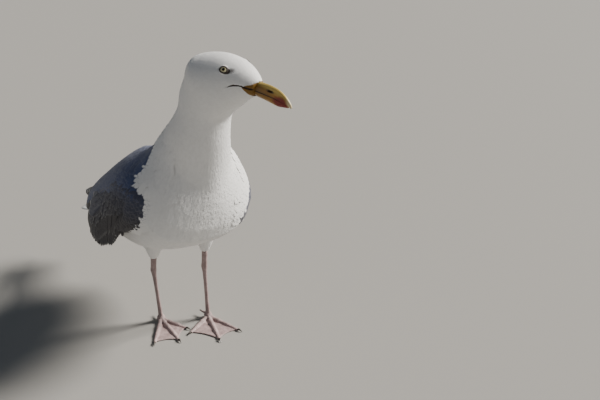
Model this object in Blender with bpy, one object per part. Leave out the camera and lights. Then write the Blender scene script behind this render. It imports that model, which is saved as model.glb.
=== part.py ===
"""A herring gull, standing alert with its head turned to its left, as a still life-size model.

Metres, +Z up. The gull faces -Y, so its left side is +X. The floor is z = 0.
Points of the side outline are written (ahead, up): ahead is the distance towards the
breast, which is -Y. Every named object is one solid, parted from its neighbours by a thin cut.
"""

import math

import bmesh
import bpy
from mathutils import Matrix, Vector
from mathutils.bvhtree import BVHTree

# Driving dimensions.
CUT = 0.0003  # the gap between neighbouring solids
HEAD_TURN = math.radians(15)  # to the gull's left
NECK_AXIS_AHEAD = 0.072  # the head turns about an upright line through the neck here
TURN_STARTS_AT, TURN_ENDS_AT = 0.2385, 0.3215  # heights between which the neck twists

BODY_ROLL = math.radians(5)  # the body leans on its left side, and the head stays level
ROLL_AXIS_UP, ROLL_AXIS_RISE = 0.1835, 0.38  # above the legs, and its rise towards the breast
ROLL_FADES_FROM, ROLL_FADES_TO = 0.2185, 0.3035

CULMEN = 0.0460  # length of the upper bill from its feathers to its tip
BILL_PITCH = math.radians(5.5)  # how far the bill points down
BILL_BASE = (0.1530, 0.3560)  # (ahead, up) of the mouth line at the bill's root

EYE_RADIUS = 0.0060
EYE_PLACE = (0.1257, 0.3748)  # (ahead, up)
EYE_PROUD = 0.0014  # how far the eye stands out of the head's feathers

FOOT_HALF_SPAN = 0.0265  # half the distance between the feet
FEET_ASIDE = 0.0062  # how far their middle lies to the left of the body's middle plane
LEFT_STEP, RIGHT_STEP = 0.005, -0.028  # how far each foot stands ahead
LEFT_FOOT_TURN, RIGHT_FOOT_TURN = 15, 7  # degrees clockwise, seen from above
TARSUS = 0.0725
FOOT_JOINT_UP = 0.0062
FOOT_BALL_RADIUS, FOOT_BALL_UP = 0.0056, 0.0045
TIBIA_LEAN_AHEAD = 0.002  # the ankle lies behind the foot's joint
RIGHT_ANKLE_OUT = 0.0035  # and the right one stands out to the side of it
TOE_LENGTHS = {"inner": 0.041, "middle": 0.055, "outer": 0.052}
TOE_SPREAD = {"inner": 30, "middle": 2, "outer": -31}  # degrees towards the middle plane
LEFT_INNER_SPREAD = 20  # how many degrees more the left foot's inner toe is spread
CLAW_LENGTH = 0.0068
WEB_THICKNESS = 0.0012
WEB_UNDERSIDE = 0.0005

# The flesh and its coat, as sections from the tail's root to the bill. Each row is one section:
# its top point, its bottom point, its half width, how high its widest level lies (0 to 1) and
# how round it is below that level (1 is an ellipse, less is fuller).
SECTIONS = (
    ((-0.134, 0.1705), (-0.132, 0.1080), 0.030, 0.56, 0.90),  # tail root
    ((-0.104, 0.1965), (-0.096, 0.1105), 0.049, 0.52, 0.78),  # rump
    ((-0.067, 0.2225), (-0.048, 0.1135), 0.0625, 0.46, 0.74),  # vent
    ((-0.031, 0.2435), (0.000, 0.1215), 0.0680, 0.42, 0.80),  # legs
    ((-0.004, 0.2575), (0.042, 0.1385), 0.0705, 0.41, 0.78),  # belly
    ((0.012, 0.2715), (0.077, 0.1605), 0.0710, 0.42, 0.76),  # breast
    ((0.021, 0.2845), (0.0885, 0.1965), 0.0572, 0.46, 0.94),  # breast front
    ((0.030, 0.2980), (0.0915, 0.2285), 0.0390, 0.48, 1.08),  # collar
    ((0.0435, 0.3140), (0.0960, 0.2595), 0.0345, 0.50, 1.00),  # neck foot
    ((0.0525, 0.3295), (0.1020, 0.2875), 0.0310, 0.50, 1.00),  # mid neck
    ((0.0555, 0.3445), (0.1070, 0.3115), 0.0305, 0.50, 1.00),  # neck top
    ((0.0630, 0.3605), (0.1165, 0.3215), 0.0308, 0.50, 1.00),  # nape
    ((0.0708, 0.3773), (0.1225, 0.3267), 0.0322, 0.54, 1.00),  # hind crown
    ((0.0880, 0.3832), (0.1290, 0.3317), 0.0304, 0.55, 1.00),  # crown
    ((0.1070, 0.3855), (0.1345, 0.3360), 0.0260, 0.54, 1.00),  # fore crown
    ((0.1245, 0.3837), (0.1390, 0.3400), 0.0222, 0.52, 1.00),  # eyes
    ((0.1395, 0.3787), (0.1435, 0.3430), 0.0174, 0.50, 1.00),  # lores
    ((0.1500, 0.3717), (0.1475, 0.3453), 0.0129, 0.48, 1.00),  # forehead
    ((0.1565, 0.3657), (0.1510, 0.3472), 0.0090, 0.45, 1.00),  # bill root
)
TRUNK_SECTIONS, NECK_SECTIONS, HEAD_SECTIONS = (0, 7), (7, 11), (11, 18)
RING_SIDES = 28

# Each wing as two edges and the bow between them: the top edge (side, ahead, up), the
# bottom edge (side, ahead, up), how far the wing bows out of their chord, its thickness.
WING = (
    ((0.060, 0.056, 0.2255), (0.073, 0.052, 0.1985), 0.004, 0.0020),  # wrist
    ((0.050, 0.036, 0.2505), (0.078, 0.040, 0.1810), 0.016, 0.0060),
    ((0.034, 0.004, 0.2595), (0.079, 0.012, 0.1605), 0.027, 0.0090),
    ((0.023, -0.034, 0.2465), (0.076, -0.030, 0.1330), 0.032, 0.0095),
    ((0.018, -0.070, 0.2235), (0.072, -0.068, 0.1085), 0.034, 0.0090),
    ((0.014, -0.105, 0.1995), (0.065, -0.104, 0.1015), 0.031, 0.0080),
    ((0.010, -0.142, 0.1755), (0.054, -0.142, 0.0985), 0.023, 0.0065),
    ((0.007, -0.183, 0.1495), (0.035, -0.183, 0.1015), 0.012, 0.0050),
    ((0.005, -0.226, 0.1255), (0.020, -0.228, 0.1055), 0.004, 0.0035),
    ((0.0035, -0.268, 0.1045), (0.0085, -0.270, 0.0975), 0.001, 0.0016),  # tip
)
ARM_STATIONS, HAND_STATIONS = (0, 5.6), (5.6, 9)  # the wing is parted behind the tertials
WING_ACROSS = 10
WING_PER_STATION = 2
LEFT_BEND_DOWN, LEFT_BEND_OUT = 0.014, 0.0035  # how the left wing's bend hangs
BEND_FROM, BEND_TO = -0.08, 0.03  # how far ahead that shift starts, and where it is whole
WING_CLEAR = 0.0020  # from the wing's inner face to the trunk
WING_PROUD = 0.0030  # the least height of the wing's outer face over the trunk
WING_FILLS = 0.022  # a wing nearer the trunk than this lies on it, with no hollow between

# The tail fan: (ahead, up, half width, thickness) along its middle.
TAIL = (
    (-0.112, 0.1400, 0.018, 0.0120),
    (-0.140, 0.1290, 0.025, 0.0085),
    (-0.180, 0.1140, 0.031, 0.0055),
    (-0.220, 0.1000, 0.033, 0.0035),
    (-0.246, 0.0920, 0.034, 0.0022),
)
TAIL_ARCH = 0.004
TAIL_ACROSS = 8
TAIL_ROUND = 0.008  # how far the fan's middle feathers reach past its corners

# Colours of the solids: (red, green, blue), roughness.
WHITE = ((0.86, 0.86, 0.85), 0.8)
SLATE = ((0.20, 0.22, 0.27), 0.7)
BLACK = ((0.02, 0.02, 0.022), 0.6)
BILL_YELLOW = ((0.80, 0.55, 0.08), 0.35)
FLESH_PINK = ((0.62, 0.42, 0.38), 0.5)
CLAW_DARK = ((0.05, 0.04, 0.035), 0.4)
EYE_PALE = ((0.85, 0.80, 0.45), 0.1)


def material(name, finish):
    """A plain Principled surface of this colour and roughness."""
    made = bpy.data.materials.get(name)
    if made is None:
        made = bpy.data.materials.new(name)
        made.use_nodes = True
        shader = made.node_tree.nodes["Principled BSDF"]
        colour, roughness = finish
        shader.inputs["Base Color"].default_value = (*colour, 1.0)
        shader.inputs["Roughness"].default_value = roughness
        shader.inputs["Metallic"].default_value = 0.0
    return made


def add_object(name, bm, surface, collection="gull"):
    """Makes the bmesh an object, with its faces pointing out."""
    bmesh.ops.recalc_face_normals(bm, faces=bm.faces)
    mesh = bpy.data.meshes.new(name)
    bm.to_mesh(mesh)
    bm.free()
    mesh.shade_smooth()
    mesh.set_sharp_from_angle(angle=math.radians(40))
    made = bpy.data.objects.new(name, mesh)
    bpy.data.collections[collection].objects.link(made)
    if surface:
        mesh.materials.append(material(*surface))
    return made


def along(rows, at):
    """The row of numbers at a fractional index, on a smooth curve through all the rows."""
    last = len(rows) - 1
    i = min(max(int(at), 0), last - 1)
    t = at - i
    before, here = rows[max(i - 1, 0)], rows[i]
    there, beyond = rows[i + 1], rows[min(i + 2, last)]
    found = []
    for p0, p1, p2, p3 in zip(before, here, there, beyond):
        m1, m2 = (p2 - p0) / 2, (p3 - p1) / 2
        a = 2 * p1 - 2 * p2 + m1 + m2
        b = -3 * p1 + 3 * p2 - 2 * m1 - m2
        found.append(((a * t + b) * t + m1) * t + p1)
    return found


def spaced(first, last, per_step):
    """Fractional indices from first to last, about per_step of them to each whole step."""
    count = max(2, round((last - first) * per_step))
    return [first + (last - first) * i / count for i in range(count + 1)]


def smooth_step(x):
    x = min(max(x, 0.0), 1.0)
    return x * x * (3 - 2 * x)


def lean_body(point):
    """Rolls what lies below the neck about the body's long axis."""
    share = smooth_step((point.z - ROLL_FADES_FROM) / (ROLL_FADES_TO - ROLL_FADES_FROM))
    axis = Vector((0.0, point.y, ROLL_AXIS_UP - ROLL_AXIS_RISE * point.y))
    return Matrix.Rotation(BODY_ROLL * (1 - share), 3, "Y") @ (point - axis) + axis


def turn_head(point):
    """Twists what lies above the breast about the neck, as the gull turns its head."""
    share = smooth_step((point.z - TURN_STARTS_AT) / (TURN_ENDS_AT - TURN_STARTS_AT))
    axis = Vector((0.0, -NECK_AXIS_AHEAD, 0.0))
    turned = Matrix.Rotation(HEAD_TURN * share, 3, "Z") @ (point - axis)
    return turned + axis


def body_ring(at, shift=0.0, grow=0.0):
    """One section of the body. shift moves it along its own normal, and grow widens it."""
    flat = [(*top, *bottom, *rest) for top, bottom, *rest in SECTIONS]
    top_ahead, top_up, low_ahead, low_up, width, level, fullness = along(flat, at)
    top = Vector((0.0, -top_ahead, top_up))
    low = Vector((0.0, -low_ahead, low_up))
    chord = (top - low).normalized()
    ahead = Vector((1, 0, 0)).cross(chord)
    middle = low.lerp(top, level) + ahead * shift
    ring = []
    for k in range(RING_SIDES):
        angle = 2 * math.pi * k / RING_SIDES
        across, up = math.sin(angle), math.cos(angle)
        if up < 0:
            across = math.copysign(abs(across) ** fullness, across)
            up = -(abs(up) ** fullness)
        reach = (top - low).length * (1 - level if up > 0 else level)
        point = middle + chord * up * (reach + grow)
        point.x = across * (width + grow)
        ring.append(turn_head(lean_body(point)))
    return ring


def loft(rings):
    """A closed bmesh through rings of equal length, its ends filled from their middles."""
    bm = bmesh.new()
    rows = [[bm.verts.new(point) for point in ring] for ring in rings]
    sides = len(rows[0])
    for one, two in zip(rows, rows[1:]):
        for k in range(sides):
            j = (k + 1) % sides
            bm.faces.new((one[k], one[j], two[j], two[k]))
    for row, ring in ((rows[0], rings[0]), (rows[-1], rings[-1])):
        centre = bm.verts.new(sum(ring, Vector()) / sides)
        for k in range(sides):
            bm.faces.new((row[k], row[(k + 1) % sides], centre))
    return bm


def body_length(first, last, per_section=2, grow=0.0):
    """The body's solid between two sections, drawn in by half a cut at each parted end."""
    rings = []
    for at in spaced(first, last, per_section):
        shift = 0.0
        if at == first and first > 0:
            shift = CUT / 2
        if at == last and last < len(SECTIONS) - 1:
            shift = -CUT / 2
        rings.append(body_ring(at, shift, grow))
    return loft(rings)


def add_body():
    for name, (first, last), per_section in (
        ("trunk", TRUNK_SECTIONS, 2),
        ("neck", NECK_SECTIONS, 2),
        ("head", HEAD_SECTIONS, 3),
    ):
        add_object(name, body_length(first, last, per_section), ("white_plumage", WHITE))


def head_frame(place, side=0.0):
    """A point (ahead, up) of the head, side metres to the gull's left, once it is turned."""
    ahead, up = place
    return turn_head(Vector((side, -ahead, up)))


def surface_tree(name):
    graph = bpy.context.evaluated_depsgraph_get()
    return BVHTree.FromObject(bpy.data.objects[name], graph)


def add_eyes():
    """Two eyeballs, and the sockets that they sit in."""
    head = bpy.data.objects["head"]
    tree = surface_tree("head")
    for name, side in (("eye_left", 1), ("eye_right", -1)):
        outside, inside = head_frame(EYE_PLACE, side * 0.05), head_frame(EYE_PLACE)
        place, normal, _, _ = tree.ray_cast(outside, (inside - outside).normalized())
        centre = place - normal * (EYE_RADIUS - EYE_PROUD)
        bm = bmesh.new()
        bmesh.ops.create_uvsphere(bm, u_segments=16, v_segments=9, radius=EYE_RADIUS)
        bmesh.ops.translate(bm, verts=bm.verts, vec=centre)
        add_object(name, bm, ("eye", EYE_PALE))
        bm = bmesh.new()
        socket_radius = EYE_RADIUS + CUT
        bmesh.ops.create_uvsphere(bm, u_segments=16, v_segments=9, radius=socket_radius)
        bmesh.ops.translate(bm, verts=bm.verts, vec=centre)
        cut(head, add_object(name + "_socket", bm, None, "cutters"))


def cut(solid, cutter, operation="DIFFERENCE"):
    """Cuts the cutter out of the solid, or joins it on."""
    cutter.hide_render = True
    cutter.display_type = "WIRE"
    boolean = solid.modifiers.new(cutter.name, "BOOLEAN")
    boolean.operation = operation
    boolean.solver = "EXACT"
    boolean.object = cutter


# The bill in its own frame, as shares of the culmen: (along, top, bottom, half width). The
# mouth line runs between the two halves, and the tip of the upper half hooks over the lower.
UPPER_BILL = (
    (-0.06, 0.170, -0.010, 0.110),
    (0.10, 0.182, -0.020, 0.112),
    (0.30, 0.190, -0.035, 0.098),
    (0.50, 0.172, -0.055, 0.086),
    (0.66, 0.128, -0.080, 0.074),
    (0.80, 0.050, -0.112, 0.062),
    (0.90, -0.035, -0.145, 0.048),
    (0.955, -0.098, -0.182, 0.032),
    (0.980, -0.148, -0.200, 0.014),
)
LOWER_BILL = (
    (-0.06, -0.018, -0.165, 0.104),
    (0.10, -0.028, -0.178, 0.104),
    (0.30, -0.043, -0.201, 0.090),
    (0.48, -0.061, -0.228, 0.077),
    (0.60, -0.079, -0.244, 0.068),
    (0.74, -0.106, -0.226, 0.057),
    (0.86, -0.143, -0.205, 0.039),
    (0.90, -0.164, -0.196, 0.022),
)
BILL_SIDES = 12
BILL_BITE = 0.020  # how far the lower half rises between the edges of the upper
NOSTRIL = (0.42, 0.068)  # (along, up), as shares of the culmen
NOSTRIL_LENGTH, NOSTRIL_HEIGHT = 0.0075, 0.0016


def bill_point(share_along, share_up, side=0.0):
    """A point of the bill, from shares of the culmen's length, in the turned head."""
    ahead, up = share_along * CULMEN, share_up * CULMEN
    cos, sin = math.cos(BILL_PITCH), math.sin(BILL_PITCH)
    place = (BILL_BASE[0] + ahead * cos + up * sin, BILL_BASE[1] - ahead * sin + up * cos)
    return head_frame(place, side)


def bill_half(name, rows, flat_side):
    """Half of the bill: round outside, and arched where it meets the other half."""
    rings = []
    for at in spaced(0, len(rows) - 1, 2):
        share_along, top, bottom, half_width = along(rows, at)
        ring = []
        for k in range(BILL_SIDES):
            angle = 2 * math.pi * k / BILL_SIDES
            across, up = math.sin(angle), math.cos(angle)
            mouth = bottom if flat_side < 0 else top
            rise = BILL_BITE * up * up if up * flat_side > 0 else (top - bottom) * up
            side = across * half_width * CULMEN
            ring.append(bill_point(share_along, mouth + rise, side))
        rings.append(ring)
    return add_object(name, loft(rings), ("bill", BILL_YELLOW))


def add_bill():
    """The two halves of the bill, seated in the head's feathers, with a nostril right through."""
    upper = bill_half("bill_upper", UPPER_BILL, -1)
    lower = bill_half("bill_lower", LOWER_BILL, 1)
    bm = bmesh.new()
    bmesh.ops.create_uvsphere(bm, u_segments=12, v_segments=8, radius=1.0)
    size = Matrix.Diagonal((0.02, NOSTRIL_LENGTH / 2, NOSTRIL_HEIGHT / 2, 1))
    turn = Matrix.Rotation(HEAD_TURN, 4, "Z") @ Matrix.Rotation(BILL_PITCH, 4, "X")
    place = Matrix.Translation(bill_point(*NOSTRIL))
    bmesh.ops.transform(bm, matrix=place @ turn @ size, verts=bm.verts)
    cut(upper, add_object("nostril", bm, None, "cutters"))
    last = len(SECTIONS) - 1
    mask = body_length(last - 1.6, last, 4, grow=CUT)
    mask = add_object("bill_seat", mask, None, "cutters")
    cut(upper, mask)
    cut(lower, mask)


def height_over(tree, point):
    """How far the point stands out of the closed surface, with the nearest place and normal."""
    place, normal, _, _ = tree.find_nearest(point)
    return (point - place).dot(normal), place, normal


def wing_section(at):
    """The wing's outer and inner points from its top edge to its bottom edge."""
    flat = [(*top, *low, bow, thick) for top, low, bow, thick in WING]
    row = along(flat, at)
    top = Vector((row[0], -row[1], row[2]))
    low = Vector((row[3], -row[4], row[5]))
    bow, thick = row[6], row[7]
    run = Vector((0, 1, -0.35)).normalized()
    out = (low - top).cross(run).normalized()
    if out.x < 0:
        out = -out
    outer, inner = [], []
    for k in range(WING_ACROSS + 1):
        t = k / WING_ACROSS
        point = top.lerp(low, t) + out * bow * 4 * t * (1 - t)
        slope = (low - top) + out * bow * 4 * (1 - 2 * t)
        normal = slope.cross(run).normalized()
        if normal.dot(out) < 0:
            normal = -normal
        here = max(thick * (4 * t * (1 - t)) ** 0.4, 0.0014)
        outer.append(point)
        inner.append(point - normal * here)
    return outer, inner


def place_wing_point(point, side, back):
    """A point of a wing's shape where it goes on this side, this far back."""
    share = min(max((-point.y - BEND_FROM) / (BEND_TO - BEND_FROM), 0.0), 1.0)
    share = share * share * (3 - 2 * share) if side > 0 else 0.0
    out, down = LEFT_BEND_OUT * share, LEFT_BEND_DOWN * share
    return lean_body(Vector((side * (point.x + out), point.y + back, point.z - down)))


def wing_length(first, last, side, tree):
    """A closed solid of the wing between two stations, laid over the trunk."""
    sections = []
    for at in spaced(first, last, WING_PER_STATION):
        back = CUT / 2 if at == first and first > 0 else 0.0
        back = -CUT / 2 if at == last and last < len(WING) - 1 else back
        outer, inner = wing_section(at)
        for point in outer + inner:
            point[:] = place_wing_point(point, side, back)
        for point in outer:
            height, place, normal = height_over(tree, point)
            if (point - place).length < 0.03 and height < WING_PROUD:
                point[:] = place + normal * WING_PROUD
        for point, beyond in zip(inner, outer):
            height, place, normal = height_over(tree, beyond)
            if (beyond - place).length < WING_FILLS:
                point[:] = place + normal * WING_CLEAR
        sections.append(outer + inner[::-1])
    return strip_solid(sections)


def strip_solid(sections):
    """A closed bmesh through flat rings: each is an outer row, then the inner row reversed."""
    bm = bmesh.new()
    rows = [[bm.verts.new(point) for point in ring] for ring in sections]
    sides = len(rows[0])
    for one, two in zip(rows, rows[1:]):
        for k in range(sides):
            j = (k + 1) % sides
            bm.faces.new((one[k], one[j], two[j], two[k]))
    for row in (rows[0], rows[-1]):
        for k in range(sides // 2 - 1):
            quad = (row[k], row[k + 1], row[sides - 2 - k], row[sides - 1 - k])
            bm.faces.new(quad)
    return bm


def add_wings():
    """Each folded wing, as its arm with coverts and tertials, and its hand with the primaries."""
    tree = surface_tree("trunk")
    tail_seat = add_object("tail_seat", tail_fan(CUT), None, "cutters")
    for label, side in (("left", 1), ("right", -1)):
        arm = wing_length(*ARM_STATIONS, side, tree)
        add_object(f"wing_{label}", arm, ("slate_plumage", SLATE))
        hand = wing_length(*HAND_STATIONS, side, tree)
        cut(add_object(f"primaries_{label}", hand, ("black_plumage", BLACK)), tail_seat)


def tail_fan(grow=0.0):
    """The closed tail fan, thin at its edges and arched across, and grown by this much."""
    sections = []
    for at in spaced(0, len(TAIL) - 1, 2):
        ahead, up, half_width, thick = along(TAIL, at)
        end_share = at / (len(TAIL) - 1)
        upper, lower = [], []
        for k in range(TAIL_ACROSS + 1):
            across = 2 * k / TAIL_ACROSS - 1
            reach = TAIL_ROUND * end_share**2 * (1 - across * across) + grow * (end_share == 1)
            side = across * (half_width + grow)
            middle = Vector((side, -(ahead - reach), up - TAIL_ARCH * across**2))
            half_thick = max(thick / 2 * (1 - across * across) ** 0.5, 0.0007) + grow
            upper.append(lean_body(middle + Vector((0, 0, half_thick))))
            lower.append(lean_body(middle - Vector((0, 0, half_thick))))
        sections.append(upper + lower[::-1])
    return strip_solid(sections)


def add_tail():
    tail = add_object("tail", tail_fan(), ("white_plumage", WHITE))
    rump = body_length(0, 3, grow=CUT)
    cut(tail, add_object("rump_seat", rump, None, "cutters"))


# A leg from the knee's feathers to the foot, as (up the leg 0 to 1, half depth, half width)
# below and above the ankle.
TARSUS_FORM = ((0.0, 0.0046, 0.0038), (0.10, 0.0036, 0.0029), (0.5, 0.0031, 0.0024),
               (0.88, 0.0036, 0.0028), (1.0, 0.0050, 0.0041))
SHIN_FORM = ((0.0, 0.0053, 0.0042), (0.24, 0.0043, 0.0036), (1.0, 0.0045, 0.0039))
LEG_SIDES = 10
SHIN_BARE = 0.0265  # bare leg above the ankle
THIGH_TOP = (0.031, 0.004, 0.1385)  # (side, ahead, up), inside the belly
THIGH_TOP_RADIUS, THIGH_END_RADIUS = 0.0170, 0.0060


def leg_points(side, step):
    """The foot's joint, the ankle and the end of the thigh's feathers."""
    foot = Vector((side * FOOT_HALF_SPAN + FEET_ASIDE, -step, FOOT_JOINT_UP))
    rise = math.sqrt(TARSUS**2 - TIBIA_LEAN_AHEAD**2)
    out = RIGHT_ANKLE_OUT if side < 0 else 0.0
    ankle = foot + Vector((side * out, TIBIA_LEAN_AHEAD, rise))
    stride = (step - (LEFT_STEP + RIGHT_STEP) / 2) * 0.6
    top = Vector((side * THIGH_TOP[0], -THIGH_TOP[1] - stride, THIGH_TOP[2]))
    bare_end = ankle + (top - ankle).normalized() * SHIN_BARE
    return foot, ankle, bare_end, top


def limb_rings(start, end, form):
    rings = []
    axis = (end - start).normalized()
    side = axis.cross(Vector((0, -1, 0))).normalized()
    ahead = side.cross(axis)
    for at in spaced(0, len(form) - 1, 2):
        up, half_depth, half_width = along(form, at)
        middle = start.lerp(end, up)
        ring = []
        for k in range(LEG_SIDES):
            angle = 2 * math.pi * k / LEG_SIDES
            ring.append(middle + ahead * math.cos(angle) * half_depth
                        + side * math.sin(angle) * half_width)
        rings.append(ring)
    return rings


def add_legs():
    """Each leg: the feathered thigh, the bare shank with its ankle, and the webbed foot."""
    trunk_seat = body_length(0, 8, grow=CUT)
    trunk_seat = add_object("thigh_seat", trunk_seat, None, "cutters")
    for label, side, step in (("left", 1, LEFT_STEP), ("right", -1, RIGHT_STEP)):
        foot, ankle, bare_end, top = leg_points(side, step)
        rings = limb_rings(foot, ankle, TARSUS_FORM)
        rings += limb_rings(ankle, bare_end, SHIN_FORM)[1:]
        add_object(f"shank_{label}", loft(rings), ("leg_skin", FLESH_PINK))
        thigh_end = bare_end + (top - bare_end).normalized() * CUT
        span = THIGH_TOP_RADIUS - THIGH_END_RADIUS
        form = [(t, THIGH_END_RADIUS + span * t**1.1, THIGH_END_RADIUS + span * t**1.1)
                for t in (0.0, 0.12, 0.35, 0.65, 1.0)]
        thigh = add_object(f"thigh_{label}", loft(limb_rings(thigh_end, top, form)),
                           ("white_plumage", WHITE))
        cut(thigh, trunk_seat)
        add_foot(label, side, foot)


TOE_RADII = ((0.0, 0.0034), (0.25, 0.0029), (0.36, 0.0034), (0.48, 0.0027), (0.68, 0.0029),
             (0.80, 0.0023), (1.0, 0.0019))
TOE_SIDES = 8
HIND_TOE = 0.0095
HIND_FORM = ((0.0, 0.0024, 0.0024), (0.5, 0.0017, 0.0017), (1.0, 0.0012, 0.0012))
TOE_LIFT = 0.6  # how far up a toe's middle lies, as a share of its radius


def toe_heading(side, name):
    """The direction of a toe on the floor."""
    turn = LEFT_FOOT_TURN if side > 0 else RIGHT_FOOT_TURN
    more = LEFT_INNER_SPREAD if side > 0 and name == "inner" else 0
    angle = math.radians((TOE_SPREAD[name] + more) * side + turn)
    return Vector((-math.sin(angle), -math.cos(angle), 0.0))


def toe_rings(start, heading, length, radii, lift=TOE_LIFT):
    side = Vector((0, 0, 1)).cross(heading)
    rings = []
    for at in spaced(0, len(radii) - 1, 1):
        share, radius = along(radii, at)
        drop = (1 - min(share / 0.3, 1)) ** 2
        middle = start + heading * share * length
        middle.z = radius * lift + drop * (start.z - radius * lift)
        rings.append([middle + side * math.sin(a) * radius + Vector((0, 0, math.cos(a) * radius))
                      for a in (2 * math.pi * k / TOE_SIDES for k in range(TOE_SIDES))])
    return rings


def web_between(foot, one, two, length_one, length_two):
    """A thin web between two toes, its outer edge drawn in towards the foot."""
    tips = [foot + one * length_one * 0.97, foot + two * length_two * 0.97]
    edge = []
    for k in range(9):
        t = k / 8
        middle = tips[0].lerp(tips[1], t)
        pull = 0.06 * math.sin(math.pi * t)
        edge.append(middle.lerp(foot, pull))
    bm = bmesh.new()
    low = [bm.verts.new((p.x, p.y, WEB_UNDERSIDE)) for p in [foot] + edge]
    face = bm.faces.new(low)
    made = bmesh.ops.extrude_face_region(bm, geom=[face])
    raised = [v for v in made["geom"] if isinstance(v, bmesh.types.BMVert)]
    bmesh.ops.translate(bm, verts=raised, vec=(0, 0, WEB_THICKNESS))
    return bm


def flatten_under(bm):
    """Cuts off what lies below the floor, so that the sole is flat."""
    geom = bm.verts[:] + bm.edges[:] + bm.faces[:]
    bmesh.ops.bisect_plane(bm, geom=geom, plane_co=(0, 0, 0), plane_no=(0, 0, 1), clear_inner=True)
    rim = [edge for edge in bm.edges if edge.is_boundary]
    bmesh.ops.holes_fill(bm, edges=rim)


def add_foot(label, side, joint):
    """Three webbed toes on flat soles, the small raised hind toe, and their four claws."""
    start = Vector((joint.x, joint.y, 0.0036))
    ball = Vector((joint.x, joint.y, FOOT_BALL_UP))
    headings = {name: toe_heading(side, name) for name in TOE_LENGTHS}
    joined = []
    for name, length in TOE_LENGTHS.items():
        bm = loft(toe_rings(start, headings[name], length, TOE_RADII))
        flatten_under(bm)
        joined.append(add_object(f"toe_{name}_{label}", bm, None, "cutters"))
    for one, two in (("inner", "middle"), ("middle", "outer")):
        bm = web_between(start, headings[one], headings[two], TOE_LENGTHS[one], TOE_LENGTHS[two])
        joined.append(add_object(f"web_{one}_{label}", bm, None, "cutters"))
    hind_start = joint + Vector((-side * 0.0015, 0.002, 0.0004))
    hind_heading = Vector((-side * 0.25, 1.0, 0.0)).normalized()
    rings = limb_rings(hind_start, hind_start + hind_heading * HIND_TOE, HIND_FORM)
    hind = loft(rings)
    joined.append(add_object(f"hind_toe_{label}", hind, None, "cutters"))
    foot = add_object(f"foot_{label}", foot_ball(ball, 0.0), ("leg_skin", FLESH_PINK))
    for piece in joined:
        cut(foot, piece, "UNION")
    socket = add_object(f"foot_socket_{label}", foot_ball(ball, CUT), None, "cutters")
    cut(bpy.data.objects[f"shank_{label}"], socket)
    for name, length in TOE_LENGTHS.items():
        root = start + headings[name] * length
        add_claw(f"claw_{name}_{label}", root, headings[name], CLAW_LENGTH, 0.0017, 0.0019)
    root = hind_start + hind_heading * HIND_TOE
    add_claw(f"claw_hind_{label}", root, hind_heading, CLAW_LENGTH / 2, 0.0011, hind_start.z)


def foot_ball(centre, grow):
    """The ball of the foot, where its toes meet the shank."""
    bm = bmesh.new()
    radius = FOOT_BALL_RADIUS + grow
    bmesh.ops.create_uvsphere(bm, u_segments=14, v_segments=8, radius=radius)
    bmesh.ops.translate(bm, verts=bm.verts, vec=centre)
    flatten_under(bm)
    return bm


def add_claw(name, root, heading, length, radius, up):
    """A short curved claw, just ahead of its toe."""
    rings = []
    side = Vector((0, 0, 1)).cross(heading)
    for k in range(5):
        t = k / 4
        thick = radius * (1 - 0.78 * t)
        middle = root + heading * (CUT + length * t)
        middle.z = up + 0.0008 * math.sin(math.pi * t) - 0.0011 * t * t
        rings.append([middle + side * math.sin(a) * thick + Vector((0, 0, math.cos(a) * thick))
                      for a in (2 * math.pi * j / 6 for j in range(6))])
    bm = loft(rings)
    flatten_under(bm)
    add_object(name, bm, ("claw", CLAW_DARK))


def stand_on_origin():
    """Moves everything so that the origin lies under the middle of the whole gull's box."""
    graph = bpy.context.evaluated_depsgraph_get()
    corners = []
    for part in bpy.data.collections["gull"].objects:
        mesh = part.evaluated_get(graph).to_mesh()
        corners += [vertex.co.copy() for vertex in mesh.vertices]
    centre = [(min(c[i] for c in corners) + max(c[i] for c in corners)) / 2 for i in range(2)]
    offset = Matrix.Translation((-centre[0], -centre[1], 0.0))
    for part in bpy.data.objects:
        part.data.transform(offset)
    print("origin moved by", [round(1000 * c, 3) for c in centre])


def main():
    for leftover in list(bpy.data.objects):
        bpy.data.objects.remove(leftover)
    for name in ("gull", "cutters"):
        bpy.context.scene.collection.children.link(bpy.data.collections.new(name))
    add_body()
    add_wings()
    add_tail()
    add_eyes()
    add_bill()
    add_legs()
    stand_on_origin()


main()
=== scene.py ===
import math

import bmesh
import bpy
import numpy as np
from mathutils import Matrix, Vector
from mathutils.bvhtree import BVHTree
from mathutils.kdtree import KDTree


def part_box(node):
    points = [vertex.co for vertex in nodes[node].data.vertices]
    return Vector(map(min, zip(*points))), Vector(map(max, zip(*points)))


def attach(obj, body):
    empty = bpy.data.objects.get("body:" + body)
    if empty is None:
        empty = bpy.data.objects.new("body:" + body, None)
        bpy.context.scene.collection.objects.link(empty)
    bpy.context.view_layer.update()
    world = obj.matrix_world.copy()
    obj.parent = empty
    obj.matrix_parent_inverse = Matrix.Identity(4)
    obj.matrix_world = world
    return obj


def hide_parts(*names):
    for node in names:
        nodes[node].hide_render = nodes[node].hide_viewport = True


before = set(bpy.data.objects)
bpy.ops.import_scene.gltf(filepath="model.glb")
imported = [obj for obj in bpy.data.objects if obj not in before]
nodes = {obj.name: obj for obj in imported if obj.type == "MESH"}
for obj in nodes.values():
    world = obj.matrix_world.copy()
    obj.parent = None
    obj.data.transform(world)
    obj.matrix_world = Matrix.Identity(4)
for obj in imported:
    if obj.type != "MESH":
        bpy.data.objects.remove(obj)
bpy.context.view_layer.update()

# Metres, +Z up. The breast faces -Y and the gull's left side is +X. Places on the gull are also
# given as it would stand straight: (side, ahead, up), ahead being the way the breast faces.

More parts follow.
